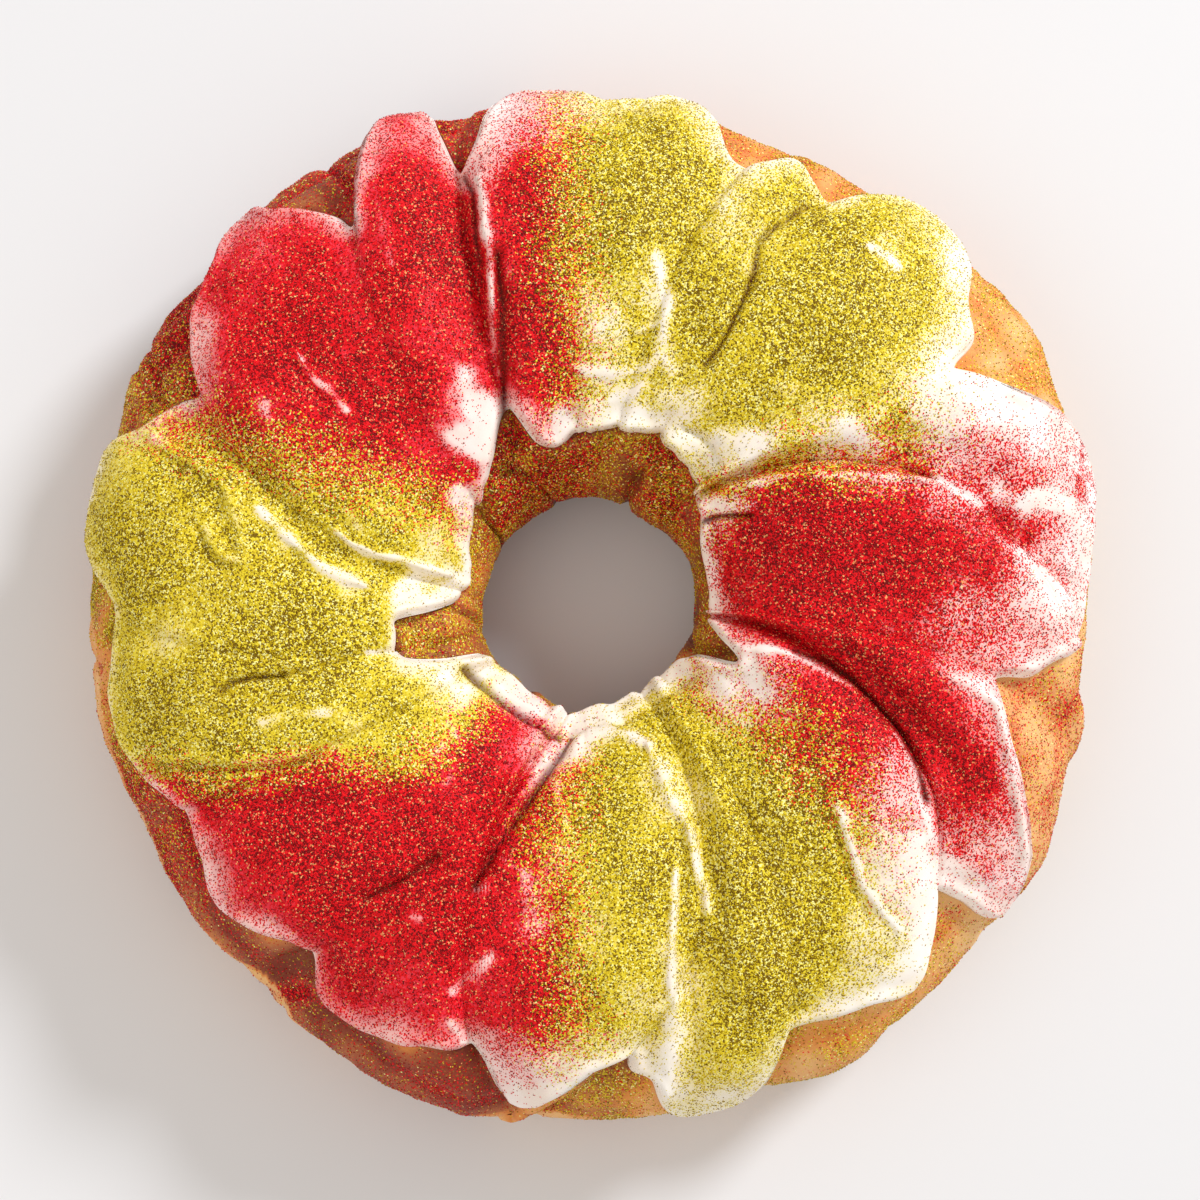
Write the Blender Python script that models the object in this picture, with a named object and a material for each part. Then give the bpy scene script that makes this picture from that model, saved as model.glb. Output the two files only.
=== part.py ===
"""King cake: a ring of twisted sweet dough under one poured sheet of icing.

The dough is one rope bent into a ring. Its twist shows as a row of strands, and
between two strands runs a groove that leans as it crosses the rope. The icing is
one closed sheet that lies on the dough, and its hem hangs down in a scallop on each
strand. Both solids are read from the same net of columns (along the strands) and
turns (round the rope), so the sheet follows the dough with an even gap.

A turn is an angle round the rope: 0 points out from the cake, 90 is the crown and
180 points into the hole. Tables are in millimetres and degrees.
"""

import math

import bpy
import numpy as np

MM = 0.001

# Ring and rope
HOLE_RADIUS = 32.0
WAIST_RADII = (  # of the bread's outer side: (ring angle, radius)
    (1, 149),
    (18, 153),
    (30, 158),
    (40, 153.5),
    (47, 153),
    (62, 149),
    (73, 149.5),
    (82, 152),
    (95, 152),
    (106, 151.5),
    (114, 156),
    (124, 154.5),
    (132, 153),
    (140, 152.5),
    (149, 153.5),
    (160, 149),
    (168, 149.5),
    (185, 149.5),
    (200, 148),
    (231, 148),
    (240, 151),
    (256, 156.5),
    (267, 153.5),
    (280, 151.5),
    (300, 157),
    (312, 155),
    (320, 152),
    (330, 155),
    (345, 150.5),
)
AXIS = (0.2, -0.15)  # of the hole, from the middle of the whole cake's outline
WAIST_HEIGHT = 27.0  # where the rope is widest
CROWN_RISE = 40.0
BELLY_DROP = 35.0  # more than the waist's height, so the tray cuts the belly flat
CROWN_POWER = 2.2  # 2 is an ellipse, more is squarer
BELLY_POWER = 3.0

# Icing
ICING_THICKNESS = 4.0
HEM_THICKNESS = 2.2
THINNEST_ICING = 2.0
GAP = 0.3

# How deep the grooves between strands are, by turn
GROOVE_TURNS = (-54.0, -25.0, 10.0, 35.0, 55.0, 90.0, 130.0, 160.0, 180.0)
DOUGH_GROOVES = (0.0, 1.5, 3.0, 6.5, 8.0, 6.5, 5.0, 1.5, 0.3)
ICING_GROOVES = (0.0, 1.0, 2.0, 4.5, 6.0, 5.0, 3.8, 1.2, 0.3)
STRAND_SKEW = 1.9  # each strand's back lies towards the strand that it laps over
DOUGH_ROUND = 2.6
ICING_ROUND = 2.1

# A groove's place round the ring at the hole, the crown and the shoulder; then its depth
ACROSS_HOLE, ACROSS_CROWN, ACROSS_SHOULDER, ACROSS_BASE = 0.0, 0.5, 0.8, 1.3
BASE_LEAN = -9.0  # from the shoulder down to the base
GROOVES = (
    (-12, -22, -46.5, 1.0),
    (-6, -8, -15, 0.6),
    (45, 24, -3, 0.9),
    (52, 38, 28, 0.8),
    (68, 64, 58.5, 0.6),
    (84, 76, 69, 0.5),
    (99, 90, 85, 0.35),
    (121, 110, 106, 1.0),
    (146, 129, 118.5, 0.6),
    (176, 163, 147, 0.9),
    (192, 191, 180, 0.6),
    (215, 210, 207, 0.5),
    (250, 239, 230, 0.8),
    (272, 249, 258, 1.0),
    (294, 290, 270, 0.8),
    (314, 303, 293, 0.8),
)

# The hem on each strand, from its first groove to the next: (share of the strand, turn)
OUTER_HEM = (
    ((0, 50), (0.12, 44), (0.23, 37), (0.35, 25), (0.46, 16), (0.52, 26), (0.6, 44), (0.75, 57), (1, 63)),
    ((0, 63), (0.15, 51), (0.38, 44), (0.68, 37), (1, 27)),
    ((0, 27), (0.2, 21), (0.55, 18), (0.76, 12), (0.81, 25), (0.84, 48), (0.9, 57), (1, 62)),
    ((0, 62), (0.1, 50), (0.33, 38), (0.48, 25), (0.6, 19), (0.75, 13), (0.88, 15), (0.96, 33), (1, 41)),
    ((0, 41), (0.18, 36), (0.55, 32), (0.73, 32), (0.85, 38), (1, 43)),
    ((0, 43), (0.15, 41), (0.25, 38), (0.5, 22), (0.68, 13), (0.8, 10), (0.9, 12), (1, 18)),
    ((0, 18), (0.12, 23), (0.25, 22), (0.4, 12), (0.55, 8), (0.7, 9), (0.8, 18), (0.88, 43), (1, 50)),
    ((0, 50), (0.1, 38), (0.28, 23), (0.4, 13), (0.6, 6), (0.78, 8), (0.88, 26), (0.95, 42), (1, 60)),
    ((0, 60), (0.05, 51), (0.15, 44), (0.4, 29), (0.6, 10), (0.7, 9), (0.77, 28), (0.94, 35), (1, 54)),
    ((0, 54), (0.15, 45), (0.4, 32), (0.62, 14), (0.75, 8), (0.87, 8), (0.95, 16), (1, 36)),
    ((0, 36), (0.18, 35), (0.43, 31), (0.65, 30), (0.8, 35), (0.9, 41), (1, 44)),
    ((0, 44), (0.28, 40), (0.45, 36), (0.58, 35), (0.73, 41), (0.88, 48), (1, 47)),
    ((0, 47), (0.1, 41), (0.17, 35), (0.25, 32), (0.38, 36), (0.55, 41), (0.73, 47), (1, 51)),
    ((0, 51), (0.06, 46), (0.1, 30), (0.2, 27), (0.43, 29), (0.58, 32), (0.7, 38), (0.8, 47), (1, 50)),
    ((0, 50), (0.1, 42), (0.3, 37), (0.43, 28), (0.55, 19), (0.68, 10), (0.83, 11), (0.92, 18), (1, 45)),
    ((0, 45), (0.2, 44), (0.45, 42), (0.65, 38), (0.85, 34), (0.94, 35), (1, 50)),
)
INNER_HEM = (
    ((0, 157), (1, 157)),
    ((0, 157), (0.2, 157), (0.5, 155), (0.7, 152), (0.85, 146), (1, 144)),
    ((0, 144), (1, 141)),
    ((0, 141), (0.5, 136), (1, 133)),
    ((0, 133), (1, 133)),
    ((0, 133), (0.4, 134), (1, 137)),
    ((0, 137), (0.5, 139), (0.8, 138), (1, 128)),
    ((0, 128), (0.15, 129), (0.44, 133), (0.65, 138), (1, 146)),
    ((0, 146), (0.8, 155), (1, 154)),
    ((0, 154), (0.25, 151), (0.5, 135), (0.62, 123), (1, 122)),
    ((0, 122), (0.15, 124), (0.38, 138), (0.55, 156), (1, 161)),
    ((0, 161), (1, 162)),
    ((0, 162), (1, 161)),
    ((0, 161), (1, 162)),
    ((0, 162), (1, 163)),
    ((0, 163), (0.5, 160), (0.58, 146), (0.61, 134), (0.67, 135), (0.76, 147), (0.9, 157), (1, 157)),
)

# Net
WIDE_STRAND = 18.0  # degrees at the shoulder
WIDE_COLUMNS, NARROW_COLUMNS = 8, 5
SHEET_ROWS = (0.0, 0.03, 0.12, 0.25, 0.4, 0.56, 0.72, 0.86, 0.96, 1.0)
SIDE_ROWS, BASE_ROWS, HOLE_ROWS = 4, 1, 4
BASE_OUTER_TURN, BASE_INNER_TURN = -54.0, -126.0
FULL_TURN = 360.0


def groove_at(strand, across):
    """Ring angle of a strand's first groove: one smooth curve through its four knots."""
    laps, row = divmod(strand, len(GROOVES))
    hole, crown, shoulder, _ = GROOVES[row]
    knots = (ACROSS_HOLE, ACROSS_CROWN, ACROSS_SHOULDER, ACROSS_BASE)
    angles = (hole, crown, shoulder, shoulder + BASE_LEAN)
    angle = 0.0
    for knot, value in zip(knots, angles):
        weight = 1.0
        for other in knots:
            if other != knot:
                weight = weight * (across - other) / (knot - other)
        angle = angle + weight * value
    return angle + FULL_TURN * laps


def ring_angle(strand, share, turn):
    """Ring angle of a column at a turn. Under the rope it swings back to its place at the hole."""
    turn = turn + FULL_TURN if turn < -180 else turn
    across = min(max(1 - turn / 180, ACROSS_HOLE), ACROSS_BASE)
    first = groove_at(strand, across)
    angle = first + (groove_at(strand + 1, across) - first) * share
    at_hole = groove_at(strand, ACROSS_HOLE)
    at_hole += (groove_at(strand + 1, ACROSS_HOLE) - at_hole) * share
    under = (BASE_OUTER_TURN - turn) / (BASE_OUTER_TURN - BASE_INNER_TURN)
    under = min(max(under, 0.0), 1.0)
    return angle + (at_hole - angle) * under


def waist_radius(angle):
    angles, radii = zip(*WAIST_RADII)
    return float(np.interp(angle, angles, radii, period=FULL_TURN))


def rope_point(angle, turn, offset):
    """A point on the rope, raised by an offset along the bare rope's normal."""
    outer = waist_radius(angle)
    middle = (outer + HOLE_RADIUS) / 2
    half = (outer - HOLE_RADIUS) / 2
    cosine = math.cos(math.radians(turn))
    sine = math.sin(math.radians(turn))
    power = CROWN_POWER if sine > 0 else BELLY_POWER
    rise = CROWN_RISE if sine > 0 else BELLY_DROP
    reach = math.copysign(abs(cosine) ** (2 / power), cosine)
    lift = math.copysign(abs(sine) ** (2 / power), sine)
    out = math.copysign(abs(cosine) ** (2 - 2 / power), cosine) / half
    up = math.copysign(abs(sine) ** (2 - 2 / power), sine) / rise
    length = math.hypot(out, up)
    radius = middle + half * reach + offset * out / length
    height = WAIST_HEIGHT + rise * lift + offset * up / length
    x = AXIS[0] + radius * math.cos(math.radians(angle))
    y = AXIS[1] + radius * math.sin(math.radians(angle))
    return (x, y, max(height, 0.0))


def groove_depth(strand, share, turn, depths, roundness):
    """How far the surface lies under the rope's bare outline, from 0 on a strand's back."""
    first = GROOVES[strand % len(GROOVES)][3]
    second = GROOVES[(strand + 1) % len(GROOVES)][3]
    turn = turn + FULL_TURN if turn < -180 else turn
    deepest = float(np.interp(turn, GROOVE_TURNS, depths))
    swell = 1 - abs(2 * share**STRAND_SKEW - 1) ** roundness
    return deepest * (first + (second - first) * share) * (1 - swell)


def dough_offset(strand, share, turn):
    return -groove_depth(strand, share, turn, DOUGH_GROOVES, DOUGH_ROUND)


def icing_offset(strand, share, turn, at_hem):
    """Top of the icing. Its hem is thinner, and it never lies closer to the dough than it can."""
    dough = dough_offset(strand, share, turn)
    if at_hem:
        return dough + GAP + HEM_THICKNESS
    draped = ICING_THICKNESS - groove_depth(strand, share, turn, ICING_GROOVES, ICING_ROUND)
    return max(draped, dough + GAP + THINNEST_ICING)


def columns():
    """Every column of the net as (strand, share of that strand), closer together near its steep end."""
    net = []
    for strand, row in enumerate(GROOVES):
        width = groove_at(strand + 1, ACROSS_SHOULDER) - row[2]
        count = WIDE_COLUMNS if width > WIDE_STRAND else NARROW_COLUMNS
        for step in range(count):
            even = step / count
            net.append((strand, (even + math.sin(math.pi / 2 * even)) / 2))
    return net


def hem_turn(hem, strand, share):
    shares, turns = zip(*hem[strand])
    return float(np.interp(share, shares, turns))


def sheet_turns(strand, share):
    """The turns of one column's rows from the inner hem over the crown to the outer hem."""
    inner = hem_turn(INNER_HEM, strand, share)
    outer = hem_turn(OUTER_HEM, strand, share)
    return [inner + (outer - inner) * row for row in SHEET_ROWS]


def spread(start, end, count):
    """Steps between two turns, without the two ends."""
    return [start + (end - start) * step / (count + 1) for step in range(1, count + 1)]


def dough_column(strand, share):
    sheet = sheet_turns(strand, share)
    turns = sheet + spread(sheet[-1], BASE_OUTER_TURN, SIDE_ROWS) + [BASE_OUTER_TURN]
    turns += spread(BASE_OUTER_TURN, BASE_INNER_TURN, BASE_ROWS) + [BASE_INNER_TURN]
    turns += spread(BASE_INNER_TURN, sheet[0] - FULL_TURN, HOLE_ROWS)
    points = []
    for turn in turns:
        angle = ring_angle(strand, share, turn)
        points.append(rope_point(angle, turn, dough_offset(strand, share, turn)))
    return points


def icing_column(strand, share):
    """Over the top from hem to hem, then back along the dough."""
    turns = sheet_turns(strand, share)
    points = []
    for turn in turns:
        at_hem = turn in (turns[0], turns[-1])
        offset = icing_offset(strand, share, turn, at_hem)
        points.append(rope_point(ring_angle(strand, share, turn), turn, offset))
    for turn in reversed(turns):
        offset = dough_offset(strand, share, turn) + GAP
        points.append(rope_point(ring_angle(strand, share, turn), turn, offset))
    return points


def closed_ring(name, rings, turned_rows, material):
    """One closed body from columns of points, joined round the section and round the cake.

    The rows in turned_rows have their squares cut along the other diagonal, so that two
    bodies that share a net have parallel faces where they meet.
    """
    count, rows = len(rings), len(rings[0])
    points = [tuple(value * MM for value in point) for ring in rings for point in ring]
    faces = []
    for column in range(count):
        here = column * rows
        there = (column + 1) % count * rows
        for row in range(rows):
            after = (row + 1) % rows
            a, b, c, d = here + row, there + row, there + after, here + after
            if row in turned_rows:
                faces += [(a, d, b), (b, d, c)]
            else:
                faces += [(a, c, b), (a, d, c)]
    mesh = bpy.data.meshes.new(name)
    mesh.from_pydata(points, [], faces)
    mesh.materials.append(material)
    mesh.shade_smooth()
    ring = bpy.data.objects.new(name, mesh)
    bpy.context.collection.objects.link(ring)
    return ring


def food_material(name, colour, roughness):
    material = bpy.data.materials.new(name)
    material.use_nodes = True
    surface = material.node_tree.nodes["Principled BSDF"]
    surface.inputs["Base Color"].default_value = (*colour, 1)
    surface.inputs["Roughness"].default_value = roughness
    surface.inputs["Metallic"].default_value = 0.0
    return material


def clear_scene():
    for thing in list(bpy.data.objects):
        bpy.data.objects.remove(thing)


def build():
    clear_scene()
    crust = food_material("baked_crust", (0.52, 0.24, 0.08), 0.7)
    glaze = food_material("white_icing", (0.9, 0.87, 0.82), 0.45)
    net = columns()
    sheet = len(SHEET_ROWS)
    under_sheet = range(sheet, 2 * sheet - 1)
    closed_ring("bread", [dough_column(*place) for place in net], (), crust)
    closed_ring("icing", [icing_column(*place) for place in net], under_sheet, glaze)


build()
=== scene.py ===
import math

import bpy
import numpy as np
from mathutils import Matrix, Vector


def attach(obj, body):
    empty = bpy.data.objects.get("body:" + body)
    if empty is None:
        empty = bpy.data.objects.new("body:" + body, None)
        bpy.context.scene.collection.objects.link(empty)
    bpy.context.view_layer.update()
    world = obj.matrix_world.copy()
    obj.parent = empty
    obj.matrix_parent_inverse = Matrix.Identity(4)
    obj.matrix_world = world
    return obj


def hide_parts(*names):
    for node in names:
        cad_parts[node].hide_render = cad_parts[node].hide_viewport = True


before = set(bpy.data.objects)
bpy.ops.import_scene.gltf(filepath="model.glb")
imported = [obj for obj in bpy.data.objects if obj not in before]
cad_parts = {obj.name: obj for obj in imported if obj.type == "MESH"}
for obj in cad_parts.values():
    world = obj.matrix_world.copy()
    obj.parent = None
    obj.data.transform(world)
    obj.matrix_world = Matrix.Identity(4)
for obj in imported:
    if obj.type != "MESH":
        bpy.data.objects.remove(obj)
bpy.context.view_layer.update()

MM = 0.001
FULL_TURN = 360.0

# ---------------------------------------------------------------- the dough rope's own sizes
# Millimetres and degrees, as in the solids. A turn is an angle round the rope: 0 points out
# from the cake, 90 is the crown and 180 points into the hole.

HOLE_RADIUS = 32.0
WAIST_RADII = (  # of the bread's outer side: (ring angle, radius)
    (1, 149),
    (18, 153),
    (30, 158),
    (40, 153.5),
    (47, 153),
    (62, 149),
    (73, 149.5),
    (82, 152),
    (95, 152),
    (106, 151.5),
    (114, 156),
    (124, 154.5),
    (132, 153),
    (140, 152.5),
    (149, 153.5),
    (160, 149),
    (168, 149.5),
    (185, 149.5),
    (200, 148),
    (231, 148),
    (240, 151),
    (256, 156.5),
    (267, 153.5),
    (280, 151.5),
    (300, 157),
    (312, 155),
    (320, 152),
    (330, 155),
    (345, 150.5),
)
AXIS = (0.2, -0.15)
WAIST_HEIGHT = 27.0
CROWN_RISE, BELLY_DROP = 40.0, 35.0
CROWN_POWER, BELLY_POWER = 2.2, 3.0
ICING_THICKNESS, THINNEST_ICING, GAP = 4.0, 2.0, 0.3

GROOVE_TURNS = (-54.0, -25.0, 10.0, 35.0, 55.0, 90.0, 130.0, 160.0, 180.0)
DOUGH_GROOVES = (0.0, 1.5, 3.0, 6.5, 8.0, 6.5, 5.0, 1.5, 0.3)
ICING_GROOVES = (0.0, 1.0, 2.0, 4.5, 6.0, 5.0, 3.8, 1.2, 0.3)
STRAND_SKEW, DOUGH_ROUND, ICING_ROUND = 1.9, 2.6, 2.1

ACROSS = np.array((0.0, 0.5, 0.8, 1.3))  # at the hole, the crown, the shoulder and the base
BASE_LEAN = -9.0
GROOVES = (  # ring angle at the hole, the crown and the shoulder; then the groove's depth
    (-12, -22, -46.5, 1.0),
    (-6, -8, -15, 0.6),
    (45, 24, -3, 0.9),
    (52, 38, 28, 0.8),
    (68, 64, 58.5, 0.6),
    (84, 76, 69, 0.5),
    (99, 90, 85, 0.35),
    (121, 110, 106, 1.0),
    (146, 129, 118.5, 0.6),
    (176, 163, 147, 0.9),
    (192, 191, 180, 0.6),
    (215, 210, 207, 0.5),
    (250, 239, 230, 0.8),
    (272, 249, 258, 1.0),
    (294, 290, 270, 0.8),
    (314, 303, 293, 0.8),
)
OUTER_HEM = (  # on each strand: (share of the strand, turn)
    ((0, 50), (0.12, 44), (0.23, 37), (0.35, 25), (0.46, 16), (0.52, 26), (0.6, 44), (0.75, 57), (1, 63)),
    ((0, 63), (0.15, 51), (0.38, 44), (0.68, 37), (1, 27)),
    ((0, 27), (0.2, 21), (0.55, 18), (0.76, 12), (0.81, 25), (0.84, 48), (0.9, 57), (1, 62)),
    ((0, 62), (0.1, 50), (0.33, 38), (0.48, 25), (0.6, 19), (0.75, 13), (0.88, 15), (0.96, 33), (1, 41)),
    ((0, 41), (0.18, 36), (0.55, 32), (0.73, 32), (0.85, 38), (1, 43)),
    ((0, 43), (0.15, 41), (0.25, 38), (0.5, 22), (0.68, 13), (0.8, 10), (0.9, 12), (1, 18)),
    ((0, 18), (0.12, 23), (0.25, 22), (0.4, 12), (0.55, 8), (0.7, 9), (0.8, 18), (0.88, 43), (1, 50)),
    ((0, 50), (0.1, 38), (0.26, 22), (0.36, 9), (0.5, 5), (0.8, 6), (0.89, 22), (0.95, 42), (1, 60)),
    ((0, 60), (0.05, 51), (0.15, 44), (0.4, 29), (0.6, 10), (0.7, 9), (0.77, 28), (0.94, 35), (1, 54)),
    ((0, 54), (0.15, 45), (0.4, 32), (0.62, 14), (0.75, 8), (0.87, 8), (0.95, 16), (1, 36)),
    ((0, 36), (0.18, 35), (0.43, 31), (0.65, 30), (0.8, 35), (0.9, 41), (1, 44)),
    ((0, 44), (0.28, 40), (0.45, 36), (0.58, 35), (0.73, 41), (0.88, 48), (1, 47)),
    ((0, 47), (0.1, 41), (0.17, 35), (0.25, 32), (0.38, 36), (0.55, 41), (0.73, 47), (1, 51)),
    ((0, 51), (0.06, 46), (0.1, 30), (0.2, 27), (0.43, 29), (0.58, 32), (0.7, 38), (0.8, 47), (1, 50)),
    ((0, 50), (0.1, 42), (0.3, 37), (0.43, 28), (0.55, 19), (0.68, 10), (0.83, 11), (0.92, 18), (1, 45)),
    ((0, 45), (0.2, 44), (0.45, 42), (0.65, 38), (0.85, 34), (0.94, 35), (1, 50)),
)
INNER_HEM = (
    ((0, 157), (1, 157)),
    ((0, 157), (0.2, 157), (0.5, 155), (0.7, 152), (0.85, 146), (1, 144)),
    ((0, 144), (1, 140)),
    ((0, 140), (0.5, 134), (1, 130)),
    ((0, 130), (1, 132)),
    ((0, 132), (0.4, 133), (1, 134)),
    ((0, 134), (0.25, 138), (0.5, 138), (0.75, 134), (0.9, 127), (1, 121)),
    ((0, 121), (0.06, 122), (0.2, 127), (0.34, 131), (0.6, 137), (1, 144)),
    ((0, 144), (0.8, 155), (1, 154)),
    ((0, 154), (0.25, 151), (0.5, 135), (0.62, 123), (1, 122)),
    ((0, 122), (0.15, 124), (0.38, 138), (0.55, 156), (1, 161)),
    ((0, 161), (1, 162)),
    ((0, 162), (1, 161)),
    ((0, 161), (0.5, 164), (1, 168)),
    ((0, 168), (0.5, 170), (1, 169)),
    ((0, 169), (0.3, 166), (0.5, 161), (0.58, 146), (0.61, 134), (0.67, 135), (0.76, 147), (0.9, 157), (1, 157)),
)

# ---------------------------------------------------------------- the visual net

ICING_COLUMNS_PER_DEGREE = 2.35
ICING_ROWS, ICING_BACK_ROWS = 102, 8
BREAD_COLUMNS_PER_DEGREE = 2.3
BREAD_COVERED_ROWS, BREAD_SIDE_ROWS, BREAD_BASE_ROWS, BREAD_HOLE_ROWS = 26, 52, 5, 28
BASE_OUTER_TURN, BASE_INNER_TURN = -54.0, -126.0
OUTER_SOFTENING, INNER_SOFTENING = 5, 16  # passes over the corners of the hems
RIM_THICKNESS, RIM_ROUND, RIM_REACH = 3.3, 3.0, 13.0
RIM_LEVEL = 0.35  # heights count less than widths where the sugar thins out towards the rim
BAREST = 0.9
MARK_STRENGTH = 1.25
THINNEST_PATCH = 0.58
CRACK_DEPTH = -2.0  # marks this deep get painted shade at the bottom
RIM_BEAD, RIM_BEAD_WIDTH = 0.9, 1.9
FAT_RIM, FAT_RIM_ANGLES = 1.3, (45, 66, 108, 124)  # the inner rim that overhangs the hole
THINNEST_FOLD = 0.6

# How the icing follows each groove of the dough, at the outer side, on the crown and at the
# hole: share of the fold kept there three times, crease depth there three times, then the
# height of the rolled edge that laps over it
SEAMS = (
    (0.9, 1.2, 1.3, 0.9, 1.3, 1.6, 0.9),
    (1.2, 1.1, 0.5, 0.9, 0.6, 0.0, 0.6),
    (0.7, 1.2, 1.2, 0.6, 1.0, 1.0, 1.0),
    (1.1, 0.4, 0.3, 0.5, 0.0, 0.0, 0.2),
    (0.9, 0.2, 0.1, 0.4, 0.0, 0.0, 0.1),
    (1.2, 0.7, 0.2, 0.6, 0.2, 0.0, 0.3),
    (1.1, 0.25, 0.1, 0.4, 0.0, 0.0, 0.1),
    (1.2, 1.3, 1.3, 1.0, 1.2, 1.2, 0.5),
    (1.2, 0.4, 0.3, 0.9, 0.0, 0.0, 0.2),
    (1.2, 0.9, 0.5, 0.9, 0.3, 0.1, 0.5),
    (0.3, 0.3, 0.8, 0.0, 0.2, 0.5, 0.2),
    (1.3, 0.8, 0.3, 1.1, 0.5, 0.0, 0.4),
    (1.1, 0.4, 0.2, 0.6, 0.1, 0.0, 0.2),
    (0.9, 0.6, 1.2, 0.2, 0.8, 1.8, 0.3),
    (0.8, 1.0, 1.0, 0.0, 0.4, 0.5, 0.6),
    (1.2, 0.8, 0.8, 0.4, 0.2, 0.1, 0.4),
)
SEAM_TURNS = (30, 85, 140)
CREASE_WIDTH, LIP_WIDTH, LIP_PLACE = 1.1, 1.7, 2.4

# ---------------------------------------------------------------- marks in the icing
# Each: height of its ridge (below 0 a crease), width, how bare of sugar it is (below 0 thicker
# sugar), then its run as (ring angle, radius). Read off the finished cake.

# Some of the white streaks among these marks are painted highlights along lit ridges rather than bare icing.
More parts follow.
